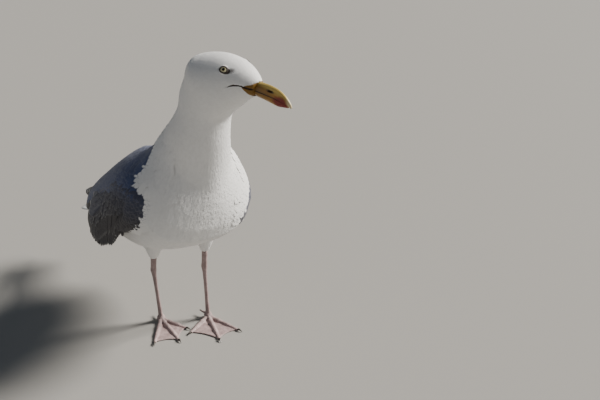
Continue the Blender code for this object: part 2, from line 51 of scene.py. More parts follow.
ZERO = np.array((-0.001786, -0.038497, 0.0))  # the straight gull's zero
HEAD_TURN = math.radians(15)
NECK_AHEAD = 0.072  # the head turns about an upright line here
TWIST_FROM, TWIST_TO = 0.2385, 0.3215
BODY_LEAN = math.radians(5)
LEAN_AXIS_UP, LEAN_AXIS_RISE = 0.1835, 0.38
LEAN_FADES_FROM, LEAN_FADES_TO = 0.2185, 0.3035

LEFT_BEND_DOWN, LEFT_BEND_OUT = 0.014, 0.0035  # how the left wing's bend hangs
BEND_FROM, BEND_TO = -0.08, 0.03

FLESH = ("trunk", "neck", "head", "thigh_left", "thigh_right")
WINGS = ("wing_left", "wing_right")
EYEBALLS = ("eye_left", "eye_right")
BILL_HALVES = ("bill_upper", "bill_lower")
SIDES = (("left", 1), ("right", -1))
rng = np.random.default_rng(7)  # every random draw comes from here, in order


# Small sums on arrays.


def smooth_step(x):
    x = np.clip(x, 0.0, 1.0)
    return x * x * (3 - 2 * x)


def between(x, low, high):
    """0 below low, 1 above high, and smooth from one to the other."""
    return smooth_step((x - low) / (high - low))


def unit(vectors):
    return vectors / np.maximum(np.linalg.norm(vectors, axis=-1, keepdims=True), 1e-12)


def mix(one, two, share):
    return one + (two - one) * np.asarray(share)[..., None]


def straight(points):
    """Points of the posed gull as (side, ahead, up) on the straight gull."""
    x, y, z = (points - ZERO).T
    turn = -HEAD_TURN * between(z, TWIST_FROM, TWIST_TO)
    reach = y + NECK_AHEAD
    side = np.cos(turn) * x - np.sin(turn) * reach
    y = np.sin(turn) * x + np.cos(turn) * reach - NECK_AHEAD
    lean = -BODY_LEAN * (1 - between(z, LEAN_FADES_FROM, LEAN_FADES_TO))
    axis_up = LEAN_AXIS_UP - LEAN_AXIS_RISE * y
    rise = z - axis_up
    return np.stack(
        (np.cos(lean) * side + np.sin(lean) * rise, -y,
         axis_up - np.sin(lean) * side + np.cos(lean) * rise), 1)


def posed(places):
    """Places (side, ahead, up) of the straight gull as points of the posed gull."""
    side, ahead, up = np.asarray(places, float).reshape(-1, 3).T
    y = -ahead
    lean = BODY_LEAN * (1 - between(up, LEAN_FADES_FROM, LEAN_FADES_TO))
    axis_up = LEAN_AXIS_UP - LEAN_AXIS_RISE * y
    rise = up - axis_up
    x = np.cos(lean) * side + np.sin(lean) * rise
    z = axis_up - np.sin(lean) * side + np.cos(lean) * rise
    turn = HEAD_TURN * between(z, TWIST_FROM, TWIST_TO)
    reach = y + NECK_AHEAD
    return np.stack(
        (np.cos(turn) * x - np.sin(turn) * reach,
         np.sin(turn) * x + np.cos(turn) * reach - NECK_AHEAD, z), 1) + ZERO


def posed_headings(points, headings):
    """Directions (side, ahead, up) at these points, as directions of the posed gull."""
    places = straight(points)
    return unit(posed(places + headings * 1e-3) - posed(places))


# Shader nodes, written as sums.


class Number:
    """A socket that takes part in sums."""

    def __init__(self, finish, socket):
        self.finish, self.socket = finish, socket

    def math(self, operation, *others):
        return self.finish.node("ShaderNodeMath", {"operation": operation}, (self, *others))

    def __add__(self, other):
        return self.math("ADD", other)

    def __sub__(self, other):
        return self.math("SUBTRACT", other)

    def __mul__(self, other):
        return self.math("MULTIPLY", other)

    def __rsub__(self, other):
        return self.finish.node("ShaderNodeMath", {"operation": "SUBTRACT"}, (other, self))

    __radd__ = __add__
    __rmul__ = __mul__

    def length(self, other):
        """How long a line is that goes this far one way and so far across it."""
        return (self * self + other * other).math("SQRT")

    def other(self, output):
        """Another output of the same node."""
        return Number(self.finish, self.socket.node.outputs[output])

    def step(self, low, high):
        """0 below low and 1 above high, and smooth between them."""
        settings = {"interpolation_type": "SMOOTHSTEP"}
        sockets = {"Value": self, "From Min": low, "From Max": high}
        return self.finish.node("ShaderNodeMapRange", settings, sockets)


class Finish:
    """A Principled surface whose nodes are made one at a time."""

    def __init__(self, name, **constants):
        self.material = bpy.data.materials.new(name)
        self.material.use_nodes = True
        self.tree = self.material.node_tree
        self.shader = self.tree.nodes["Principled BSDF"]
        self.feed(**constants)

    def node(self, kind, settings=None, sockets=(), output=0):
        made = self.tree.nodes.new(kind)
        for name, value in (settings or {}).items():
            if name == "stops":
                self.set_stops(made, value)
            else:
                setattr(made, name, value)
        pairs = sockets.items() if isinstance(sockets, dict) else enumerate(sockets)
        for name, value in pairs:
            self.plug(value, made.inputs[name])
        return Number(self, made.outputs[output])

    def set_stops(self, ramp, stops):
        line = ramp.color_ramp.elements
        while len(line) < len(stops):
            line.new(1.0)
        for element, (place, colour) in zip(line, stops):
            element.position = place
            element.color = (*colour, 1.0)

    def plug(self, value, socket):
        """Links a value to a socket, or sets it there. A plain colour is three numbers."""
        if isinstance(value, Number):
            self.tree.links.new(value.socket, socket)
        else:
            socket.default_value = (*value, 1.0) if socket.type == "RGBA" else value

    def feed(self, **links):
        for name, value in links.items():
            self.plug(value, self.shader.inputs[name.replace("_", " ")])

    def object_place(self):
        return self.node("ShaderNodeTexCoord", output="Object")

    def attribute(self, name, output="Color"):
        return self.node("ShaderNodeAttribute", {"attribute_name": name}, output=output)

    def parts(self, vector):
        """The first of a vector's three numbers. The others are its other outputs."""
        return self.node("ShaderNodeSeparateXYZ", None, (vector,))

    def noise(self, scale, detail):
        sockets = {"Scale": scale, "Detail": detail, "Vector": self.object_place()}
        return self.node("ShaderNodeTexNoise", None, sockets)

    def paint(self, colour, *layers):
        """Lays layers over a first colour. Each is a share, a colour and, if not MIX, a kind."""
        for share, over, *kind in layers:
            settings = {"data_type": "RGBA", "blend_type": kind[0] if kind else "MIX"}
            colour = self.node("ShaderNodeMix", settings, {0: share, 6: colour, 7: over}, output=2)
        self.feed(Base_Color=colour)

    def bump(self, height, strength, distance):
        sockets = {"Height": height, "Strength": strength, "Distance": distance}
        self.feed(Normal=self.node("ShaderNodeBump", None, sockets))


# Surfaces that the coat lies on.

TRIES = 7  # how many random points are tried for each one that fits


def read_values(layer, field, kind=np.float32):
    """Three numbers for each entry of one of a mesh's layers."""
    values = np.empty(len(layer) * 3, kind)
    layer.foreach_get(field, values)
    return values.reshape(-1, 3)


def read_points(mesh):
    """The mesh's points, and its smooth normals there."""
    return (read_values(mesh.vertices, "co").astype(float),
            read_values(mesh.vertex_normals, "vector").astype(float))


class Form:
    """A closed surface, and the nearest places on it."""

    def __init__(self, mesh):
        mesh.calc_loop_triangles()
        self.points, self.normals = read_points(mesh)
        self.corners = read_values(mesh.loop_triangles, "vertices", np.int32)
        self.tree = BVHTree.FromPolygons(self.points.tolist(), self.corners.tolist(),
                                         all_triangles=True)

    def nearest(self, points):
        """The nearest places on the surface, and its smooth normals there."""
        flat = points.reshape(-1, 3)
        found = [self.tree.find_nearest(point) for point in flat.tolist()]
        places = np.array([hit[0] for hit in found])
        corners = self.corners[[hit[2] for hit in found]]
        a, b, c = (self.points[corners[:, k]] for k in range(3))
        shares = barycentric(places, a, b, c)
        normals = (self.normals[corners] * shares[..., None]).sum(1)
        return places.reshape(points.shape), unit(normals).reshape(points.shape)

    def scatter(self, spacing_at, wanted):
        """Random points no nearer each other than spacing_at says, with their normals."""
        a, b, c = (self.points[self.corners[:, k]] for k in range(3))
        area = np.linalg.norm(np.cross(b - a, c - a), axis=1) / 2
        middles = (a + b + c) / 3
        weight = np.where(wanted(middles), area / spacing_at(middles) ** 2, 0.0)
        count = int(weight.sum() * TRIES)
        picked = rng.choice(len(weight), count, p=weight / weight.sum())
        shares = rng.random((count, 2))
        flip = shares.sum(1) > 1
        shares[flip] = 1 - shares[flip]
        first, second = shares[:, :1], shares[:, 1:]
        points = a[picked] * (1 - first - second) + b[picked] * first + c[picked] * second
        space = spacing_at(points)
        finder = KDTree(count)
        for index, point in enumerate(points.tolist()):
            finder.insert(point, index)
        finder.balance()
        dropped = np.zeros(count, bool)
        kept = []
        for index in range(count):
            if dropped[index]:
                continue
            kept.append(index)
            for _, other, _ in finder.find_range(points[index], space[index]):
                dropped[other] = True
        return self.nearest(points[kept])


def barycentric(places, a, b, c):
    """How much each corner of its triangle counts at each place."""
    one, two, out = b - a, c - a, places - a
    d11, d12, d22 = (one * one).sum(1), (one * two).sum(1), (two * two).sum(1)
    o1, o2 = (out * one).sum(1), (out * two).sum(1)
    scale = np.maximum(d11 * d22 - d12 * d12, 1e-18)
    v, w = (d22 * o1 - d12 * o2) / scale, (d11 * o2 - d12 * o1) / scale
    return np.clip(np.stack((1 - v - w, v, w), 1), 0, 1)


def joined_copy(*names):
    """One bmesh of these solids, with their loose corners merged."""
    bm = bmesh.new()
    for name in names:
        bm.from_mesh(nodes[name].data)
    bmesh.ops.remove_doubles(bm, verts=bm.verts, dist=1e-6)
    return bm


def add_object(name, mesh):
    made = bpy.data.objects.new(name, mesh)
    bpy.context.scene.collection.objects.link(made)
    return made


def modify(made, kind, **settings):
    """Adds a modifier."""
    modifier = made.modifiers.new(kind.lower(), kind)
    for name, value in settings.items():
        setattr(modifier, name, value)


def remeshed(name, bm, cell, smoothing, closing=0.0):
    """The bmesh's outer surface as even small faces, smoothed, as an object.

    Hollows narrower than twice closing are filled."""
    rough = bpy.data.meshes.new(name + "_rough")
    bm.to_mesh(rough)
    bm.free()
    made = add_object(name, rough)
    modify(made, "REMESH", mode="VOXEL", voxel_size=cell)
    if closing:
        modify(made, "DISPLACE", mid_level=0.0, strength=closing)
        modify(made, "REMESH", mode="VOXEL", voxel_size=cell)
        modify(made, "DISPLACE", mid_level=0.0, strength=-closing)
    modify(made, "SMOOTH", iterations=smoothing, factor=0.5)
    applied = bpy.data.meshes.new_from_object(
        made.evaluated_get(bpy.context.evaluated_depsgraph_get()))
    made.modifiers.clear()
    made.data = applied
    bpy.data.meshes.remove(rough)
    applied.name = name
    applied.shade_smooth()
    return made


def form_of(names, **sizes):
    """A smooth surface round these solids, which isn't shown."""
    shape = remeshed("form", joined_copy(*names), **sizes)
    form = Form(shape.data)
    mesh = shape.data
    bpy.data.objects.remove(shape)
    bpy.data.meshes.remove(mesh)
    return form


def keep_values(mesh, name, kind, values):
    """Stores one value for each point of the mesh, for its finish to read."""
    field = {"FLOAT": "value", "FLOAT_VECTOR": "vector", "FLOAT_COLOR": "color"}[kind]
    layer = mesh.attributes.new(name, kind, "POINT")
    layer.data.foreach_set(field, np.asarray(values, np.float32).reshape(-1))


# Vanes.


class Cut:
    """The outline of a vane: the rows from its root to its tip, their widths, its columns."""

    def __init__(self, rows, widths, columns, ragged):
        self.rows, self.widths = np.array(rows), np.array(widths)
        self.across = np.linspace(-1, 1, columns)
        self.ragged = ragged

    def grid(self, count):
        """The rows' and columns' shares along and across these vanes. Their ends are ragged."""
        reach = rng.uniform(-1, 1, (count, 1, len(self.across))) * self.ragged
        along = self.rows[:, None] + reach * between(self.rows, 0.6, 1.0)[:, None]
        return along, np.broadcast_to(self.across, along.shape)


FLIGHT_CUT = Cut((0, 0.15, 0.3, 0.45, 0.6, 0.72, 0.82, 0.90, 0.955, 0.985, 1.0),
                 (0.8, 0.92, 1.0, 1.0, 1.0, 0.98, 0.92, 0.78, 0.56, 0.34, 0.12), 7, 0.004)
FACE_CUT = Cut((0, 0.4, 0.75, 1.0), (0.5, 1.0, 0.80, 0.18), 3, 0.10)
SOFT_CUT = Cut((0, 0.3, 0.6, 0.84, 1.0), (0.5, 0.95, 1.0, 0.74, 0.20), 5, 0.08)
SCALE_CUT = Cut((0, 0.25, 0.5, 0.70, 0.86, 0.95, 1.0),
                (0.5, 0.85, 1.0, 0.98, 0.80, 0.55, 0.22), 5, 0.02)
PATCH = np.array((0.0015, 0.003))  # how large each vane is on the OFBake map


def per_vane(values):
    """One value or vector for each vane, to go with its rows and columns."""
    return np.asarray(values)[:, None, None]


def vane_grid(cut, roots, normals, headings, lengths, widths):
    """Flat vanes at their roots: points (vane, row, column) and the rows' and columns' shares."""
    along, across = cut.grid(len(roots))
    reach = along * per_vane(lengths)
    aside = per_vane(widths) / 2 * cut.widths[:, None] * cut.across
    left = unit(np.cross(normals, headings))
    points = (per_vane(roots) + per_vane(headings) * reach[..., None]
              + per_vane(left) * aside[..., None])
    return points, along, across


class Colours:
    """Each vane's colour, its tip's colour, where the tip starts and how far it blurs."""

    def __init__(self, base, tip=None, start=2.0, blur=0.05):
        self.base = base
        self.tip = base if tip is None else tip
        self.start, self.blur = (np.broadcast_to(v, len(base)) for v in (start, blur))


def vane_mesh(name, points, normals, along, across, colours, sizes, patches, softness=0.0):
    """One mesh of closed vanes. The points are (vane, row, column, xyz).

    The sizes are each vane's half width and length, and the patches its place on OFBake.
    Softness is how far the shading follows the given normals in place of the vanes' own."""
    vanes, rows, columns = points.shape[:3]
    index = np.arange(rows * columns).reshape(rows, columns)
    top = np.stack((index[:-1, :-1], index[1:, :-1], index[1:, 1:], index[:-1, 1:]), -1)
    base = np.stack((index[:-1, 0], index[:-1, -1], index[1:, -1], index[1:, 0]), -1)
    corners = np.concatenate((top.reshape(-1), base.reshape(-1), index[0], index[-1][::-1]))
    quads = top.size // 4 + base.size // 4
    starts = np.concatenate((np.arange(quads) * 4, (quads * 4, quads * 4 + columns)))
    step = rows * columns
    all_corners = (corners[None] + np.arange(vanes)[:, None] * step).reshape(-1)
    all_starts = (starts[None] + np.arange(vanes)[:, None] * len(corners)).reshape(-1)
    mesh = bpy.data.meshes.new(name)
    mesh.vertices.add(vanes * step)
    mesh.vertices.foreach_set("co", points.reshape(-1).astype(np.float32))
    mesh.loops.add(len(all_corners))
    mesh.loops.foreach_set("vertex_index", all_corners.astype(np.int32))
    mesh.polygons.add(len(all_starts))
    mesh.polygons.foreach_set("loop_start", all_starts.astype(np.int32))
    mesh.update(calc_edges=True)
    mesh.shade_smooth()
    each = lambda values: np.repeat(values, step, axis=0)
    keep_values(mesh, "tint", "FLOAT_COLOR", each(with_alpha(colours.base)))
    keep_values(mesh, "tip", "FLOAT_COLOR", each(np.column_stack((colours.tip, colours.start))))
    keep_values(mesh, "vane_size", "FLOAT_VECTOR", each(np.column_stack((sizes, colours.blur))))
    own = np.stack((across, along), -1)
    bake = per_vane(patches) + (own - (0.0, 0.5)) * PATCH
    for label, places in (("OFBake", bake), ("vane", own)):
        layer = mesh.uv_layers.new(name=label)
        corners = places.reshape(-1, 2)[all_corners]
        layer.data.foreach_set("uv", corners.reshape(-1).astype(np.float32))
    if softness:
        shape = read_values(mesh.vertex_normals, "vector")
        blended = unit(shape * (1 - softness) + normals.reshape(-1, 3) * softness)
        mesh.normals_split_custom_set_from_vertices(blended.tolist())
    return add_object(name, mesh)


def with_alpha(tints):
    return np.column_stack((tints, np.ones(len(tints))))


def spanning(points, normals, across, crown):
    """The vanes' points, raised over hollows so that no vane sags below its own two edges."""
    edges = mix(points[:, :, :1], points[:, :, -1:], (across + 1) / 2)
    over = ((points - edges) * normals).sum(-1)
    return points + normals * np.maximum(crown * (1 - across**2) - over, 0)[..., None]


def lay_on(form, points, rise, crown, across):
    """Points brought onto the form, at these heights over it, with each vane's crown."""
    places, normals = form.nearest(points)
    height = rise + crown * (1 - across**2)
    laid = places + normals * height[..., None]
    return spanning(laid, normals, across, 0.5 * crown), normals


def lies_well(points, normals, flat, least=0.35, most=1.8):
    """False for each vane that was torn or folded when it was laid on a form.

    No face turns further from the form than least, or is longer than most times its flat one."""
    down, aside = np.diff(points, axis=1)[:, :, :-1], np.diff(points, axis=2)[:, :-1]
    faces = unit(np.cross(down, aside))
    whole = ((faces * normals[:, :-1, :-1]).sum(-1) > least).all((1, 2))
    for axis in (1, 2):
        gap, first = (np.linalg.norm(np.diff(p, axis=axis), axis=-1) for p in (points, flat))
        whole &= (gap < most * first + 2e-4).all((1, 2))
    return whole


# The plumage: where each kind of feather grows, its size and its colour.

WHITE = np.array((0.86, 0.855, 0.84))
# The mantle's slate grey, darker and bluer than the bird's own: partly painted shade and painted
# sky light
GREY = np.array((0.060, 0.082, 0.176))
# A darker grey for the coverts and tertials, which is painted shade
SHADED_COVERT_GREY = np.array((0.050, 0.056, 0.090))
# Near black for the wing's lower feathers: painted shade over their grey
LOW_GREY = np.array((0.026, 0.024, 0.028))
FRINGE = np.array((0.40, 0.39, 0.39))
BLACK = np.array((0.012, 0.012, 0.015))
# The ring round each eye: a real ring, its near-black colour painted shade
RING = np.array((0.045, 0.032, 0.026))
# Painted shade in the fold of the mouth
MOUTH_SHADE = np.array((0.050, 0.026, 0.018))
BARE_SKIN = np.array((0.24, 0.125, 0.018))

# A line down the middle of the straight gull, from the bill's root to the tail's (ahead, up).
SPINE = np.array((
    (0.153, 0.356), (0.140, 0.358), (0.128, 0.360), (0.105, 0.358), (0.089, 0.346),
    (0.081, 0.328), (0.076, 0.305), (0.071, 0.284), (0.064, 0.262), (0.054, 0.238),
    (0.039, 0.213), (0.017, 0.195), (-0.016, 0.180), (-0.060, 0.166), (-0.100, 0.152),
    (-0.133, 0.139), (-0.160, 0.130)))
SPINE_RUN = unit(np.gradient(SPINE, axis=0))
SPINE_LENGTH = np.concatenate(((0,), np.cumsum(np.linalg.norm(np.diff(SPINE, axis=0), axis=1))))

# The mouth's line behind the bill, on each side (ahead, up), from its corner forwards.
GAPE = np.array(((0.1320, 0.3586), (0.1345, 0.3600), (0.1378, 0.3610), (0.1414, 0.3610),
                 (0.1470, 0.3598), (0.1530, 0.3572)))
EYES = {label: np.array(sum(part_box(f"eye_{label}"), Vector())) / 2 for label, _ in SIDES}
EYE_RADIUS = (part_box("eye_left")[1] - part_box("eye_left")[0]).z / 2
EYE_OPENING = np.array((0.0041, 0.0031))  # half the opening between the lids, across and up
RING_EDGE = 1.30  # the dark ring's outer edge, as a share of the opening
RING_CORNER = 1.22  # how much further the ring reaches towards the bill
LID, LID_RIM = 0.00055, 0.00018  # how far the lids and their rims stand over the eyeball
SOCKET = 0.0008  # how deep the skin passes behind the eyeball's face
LIDS_REACH = 0.0085  # how far from the eye's middle the lids shape the skin
FOLD_DEPTH, FOLD_WIDTH = 0.0011, 0.0006  # of the fold along the mouth's line
FOLD_RIM, FOLD_RIM_AT = 0.0004, 0.0014  # the rim beside it, and how far off it stands
ROUND_AN_EYE = (0.0064, 0.0105)  # how far from its middle the skin shows which way it looks
BILL_ROOT = np.array((0.0, 0.158, 0.356))
BILL_BREADTH = 0.005  # how far from the middle the mouth's line shows
HEAD_FROM, NECK_FROM, THIGHS_TO = 0.338, 0.262, 0.119  # heights on the straight gull
FACE_FROM, BREAST_FROM, THIGHS_FROM = 0.118, 0.02, -0.05  # how far ahead on the straight gull
ARM_END = -0.082  # the wing's arm ends this far ahead, and black primaries lie behind it
RUFFLE = 0.09  # how far each feather turns at random, in radians

# The body's feathers, as shares of their length: the space between them, their width, how deep
# their roots lie, how much higher their tips lie, how unevenly, and their crown.
SPACE, BREADTH, SUNK, LIFT, UNEVEN, CROWN = 0.20, 0.42, 0.05, 0.046, 0.010, 0.012
SKIN_DEPTH = 0.15  # how deep the skin lies under them


def spine_shares(places):
    """How much each point of the spine counts at these places."""
    gap = ((places[:, None, 1:] - SPINE) ** 2).sum(2)
    shares = 1 / (gap + 4e-5) ** 2
    return shares / shares.sum(1, keepdims=True)


def on_a_thigh(places):
    """How much of these places is thigh, from 0 to 1."""
    return between(THIGHS_TO - places[:, 2], 0.0, 0.008) * (places[:, 1] > THIGHS_FROM)


def lie_of_coat(points, normals):
    """The way the feathers lie: from the bill to the tail, over the surface."""
    places = straight(points)
    run = spine_shares(places) @ SPINE_RUN
    headings = np.stack((np.zeros(len(run)), run[:, 0], run[:, 1]), 1)
    from_bill = places - BILL_ROOT
    near = 1 - between(np.linalg.norm(from_bill, axis=1), 0.012, 0.034)
    headings = mix(headings, unit(from_bill), near * 0.8)
    hanging = on_a_thigh(places) * (1 - between(-normals[:, 2], 0.5, 0.8))
    headings = mix(headings, np.array((0.0, -0.25, -1.0)), hanging)
    world = posed_headings(points, unit(headings))
    world -= normals * (world * normals).sum(1, keepdims=True)
    return unit(world)


def ruffled(points, normals):
    """The way each feather lies, turned a little at random."""
    headings = lie_of_coat(points, normals)
    aside = np.cross(normals, headings)
    return unit(headings + aside * rng.normal(0, RUFFLE, (len(points), 1)))


def unwrapped(points):
    """Places on an unwrap of the body: down its length and round it, each from 0 to 1."""
    places = straight(points)
    shares = spine_shares(places)
    down = shares @ SPINE_LENGTH / SPINE_LENGTH[-1]
    middle = shares @ SPINE
    run = shares @ SPINE_RUN
    back = np.stack((-run[:, 1], run[:, 0]), 1)
    lift = ((places[:, 1:] - middle) * back).sum(1)
    angle = np.arctan2(places[:, 0], -lift)
    return np.stack((0.02 + 0.96 * down, 0.5 + 0.48 * angle / math.pi), 1)


def eye_gap(points):
    """How far these points are from the nearer eye's middle."""
    return np.min([np.linalg.norm(points - centre, axis=-1) for centre in EYES.values()], 0)


class Eye:
    """One eye's middle, the way it looks, and the ways to the bill and up across it."""

    def __init__(self, label, body):
        self.label, self.centre = label, EYES[label]
        gap = np.linalg.norm(body.points - self.centre, axis=1)
        near, far = ROUND_AN_EYE
        self.looks = unit(body.normals[(gap > near) & (gap < far)].sum(0))
        ahead = posed_headings(self.centre[None], np.array([(0.0, 1.0, -0.16)]))[0]
        self.ahead = unit(ahead - self.looks * (ahead @ self.looks))
        up = np.cross(self.ahead, self.looks)
        self.up = up * np.sign(up[2])

    def opening(self, points):
        """How far out from the eye these points are, up to RING_EDGE in its dark ring."""
        out = points - self.centre
        a = out @ self.ahead
        a = np.where(a > 0, a / RING_CORNER, a)
        inwards = 9.0 * (out @ self.looks < 0)
        return np.hypot(a / EYE_OPENING[0], out @ self.up / EYE_OPENING[1]) + inwards


def ring_share(points, eyes):
    """How far out these points are from the nearer eye, in its openings."""
    return np.min([eye.opening(points) for eye in eyes], 0)


def gape_gap(places):
    """How far these places (side, ahead, up) are from the mouth's line, seen from the side."""
    gaps = []
    for start, end in zip(GAPE, GAPE[1:]):
        run = end - start
        reach = np.clip((places[:, 1:] - start) @ run / (run @ run), 0, 1)
        gaps.append(np.linalg.norm(places[:, 1:] - start - reach[:, None] * run, axis=1))
    return np.min(gaps, 0) + 0.02 * (np.abs(places[:, 0]) < BILL_BREADTH)


def feather_size(points):
    """Length of the feathers at these points."""
    places = straight(points)
    from_bill = np.linalg.norm(places - (0, 0.153, 0.353), axis=1)
    size = 0.0032 + 0.0043 * between(from_bill, 0.010, 0.085)
    size += 0.0050 * between(from_bill, 0.080, 0.180)
    size += 0.0045 * between(from_bill, 0.16, 0.26)
    size += 0.005 * between(-places[:, 1], 0.06, 0.13)
    size *= 1 - 0.4 * on_a_thigh(places)
    near_eye = 1 - between(eye_gap(points), 0.008, 0.020)
    return size * (1 - 0.35 * near_eye)


def plumage(points, normals):
    """The colour of the body's feathers, with painted shade in front of the eyes."""
    places = straight(points)
    side, ahead, up = places.T
    back = unit(normals)[:, 2]
    border = 0.014 + 0.4 * np.abs(side)
    grey = between(back, 0.15, 0.4) * between(border - ahead, -0.004, 0.004)
    grey *= between(ahead, -0.118, -0.108) * (up > 0.15)
    colours = mix(np.broadcast_to(WHITE, (len(points), 3)), GREY, grey)
    # A dark patch in front of each eye is painted shade
    shade_by_eye = np.hypot((ahead - 0.1338) / 0.0052, (up - 0.3736) / 0.0024)
    shade_by_eye = (1 - between(shade_by_eye, 0.3, 1.25)) * (np.abs(side) > 0.008)
    return mix(colours, np.array((0.085, 0.075, 0.07)), shade_by_eye * 0.85)


def bare_edge(up):
    """How far ahead the feathers of the face reach at this height."""
    return np.interp(
        up, (0.343, 0.3490, 0.3530, 0.3570, 0.3598, 0.3607, 0.3618, 0.3634, 0.3652, 0.369),
        (0.1530, 0.1518, 0.1500, 0.1476, 0.1464, 0.1490, 0.1532, 0.1568, 0.1590, 0.1610))


def bare_face(points, eyes):
    """True on the bare skin round the bill's root, the mouth's corners and the eyes."""
    places = straight(points)
    bill = places[:, 1] > bare_edge(places[:, 2])
    mouth = (gape_gap(places) < 0.0010) & (np.abs(places[:, 0]) > BILL_BREADTH)
    return bill | mouth | (ring_share(points, eyes) < RING_EDGE)


def under_a_wing(points, normals, wings):
    """True where a wing covers the body. Behind its arm it has to lie closer."""
    starts = (points + normals * 5e-4).tolist()
    reaches = np.where(straight(points)[:, 1] > -0.09, 0.014, 0.005)
    return np.array([any(wing.tree.ray_cast(start, way, reach)[0] for wing in wings)
                     for start, way, reach in zip(starts, normals.tolist(), reaches)])


def stays_clear(roots, headings, lengths, eyes):
    """True for each feather that covers neither an eye's ring nor the mouth's fold."""
    clear = np.ones(len(roots), bool)
    for share in (0.35, 0.7, 1.0):
        reach = roots + headings * lengths[:, None] * share
        clear &= ring_share(reach, eyes) > RING_EDGE
        places = straight(reach)
        clear &= ((gape_gap(places) > 0.0007) | (np.abs(places[:, 0]) < BILL_BREADTH)
                  | (places[:, 1] < 0.1335))
    return clear


def add_body_coat(body, wings, eyes, finish):
    """The soft feathers of the head, neck, trunk and thighs."""
    roots, normals = body.scatter(lambda points: feather_size(points) * SPACE,
                                  lambda points: ~bare_face(points, eyes))
    keep = ~bare_face(roots, eyes)
    keep[keep] = ~under_a_wing(roots[keep], normals[keep], wings)
    roots, normals = roots[keep], normals[keep]
    lengths = feather_size(roots) * rng.uniform(0.88, 1.12, len(roots))
    headings = ruffled(roots, normals)
    lengths[ring_share(roots + headings * lengths[:, None], eyes) < RING_EDGE + 0.1] *= 0.55
    keep = stays_clear(roots, headings, lengths, eyes)
    roots, normals, headings, lengths = (a[keep] for a in (roots, normals, headings, lengths))
    down = unwrapped(roots)
    tints = plumage(roots, normals) * rng.uniform(0.965, 1.0, (len(roots), 1))
    side, ahead, up = straight(roots).T
    head, trunk = up > HEAD_FROM, up <= NECK_FROM
    groups = (("face", head & (ahead > FACE_FROM), FACE_CUT),
              ("crown", head & (ahead <= FACE_FROM), FACE_CUT),
              ("neck", ~head & ~trunk, FACE_CUT),
              ("breast", trunk & (ahead > BREAST_FROM), SOFT_CUT),
              ("belly", trunk & (ahead <= BREAST_FROM), SOFT_CUT))
    for label, sign in SIDES:
        for name, where, cut in groups:
            use = where & (side * sign >= 0)
            widths = lengths[use] * BREADTH
            grid, along, across = vane_grid(cut, roots[use], normals[use], headings[use],
                                            lengths[use], widths)
            size = per_vane(lengths[use])
            lift = LIFT + rng.uniform(-UNEVEN, UNEVEN, size.shape)
            points, lie = lay_on(body, grid, size * (-SUNK + lift * along), size * CROWN, across)
            fits = (np.linalg.norm(points - grid, axis=-1) < 0.5 * size).all((1, 2))
            fits &= ((lie * per_vane(normals[use])).sum(-1) > 0.1).all((1, 2))
            fits &= lies_well(points, lie, grid)
            layers = (layer[fits] for layer in (points, lie, along, across))
            sizes = np.stack((widths / 2, lengths[use]), 1)
            piece = vane_mesh(f"coat_{name}_{label}", *layers, Colours(tints[use][fits]),
                              sizes[fits], down[use][fits], softness=0.92)
            finish_piece(piece, finish)


def past_border(places):
    """How far ahead of the border between grey and white these places are, over the wings."""
    side, ahead, up = places.T
    up = up + LEFT_BEND_DOWN * between(ahead, BEND_FROM, BEND_TO) * (side > 0)
    high = ((0.222, 0.0570), (0.2285, 0.051), (0.236, 0.0405), (0.244, 0.038), (0.260, 0.039),
            (0.276, 0.034), (0.29, 0.022))
    right = ((0.165, 0.022), (0.175, 0.034), (0.185, 0.047), (0.195, 0.0555), (0.215, 0.0575))
    left = ((0.187, 0.040), (0.192, 0.060), (0.197, 0.077), (0.202, 0.0760), (0.208, 0.073),
            (0.215, 0.067))
    right, left = (np.interp(up, *np.transpose(low + high)) for low in (right, left))
    return ahead - np.where(side > 0, left, right), up


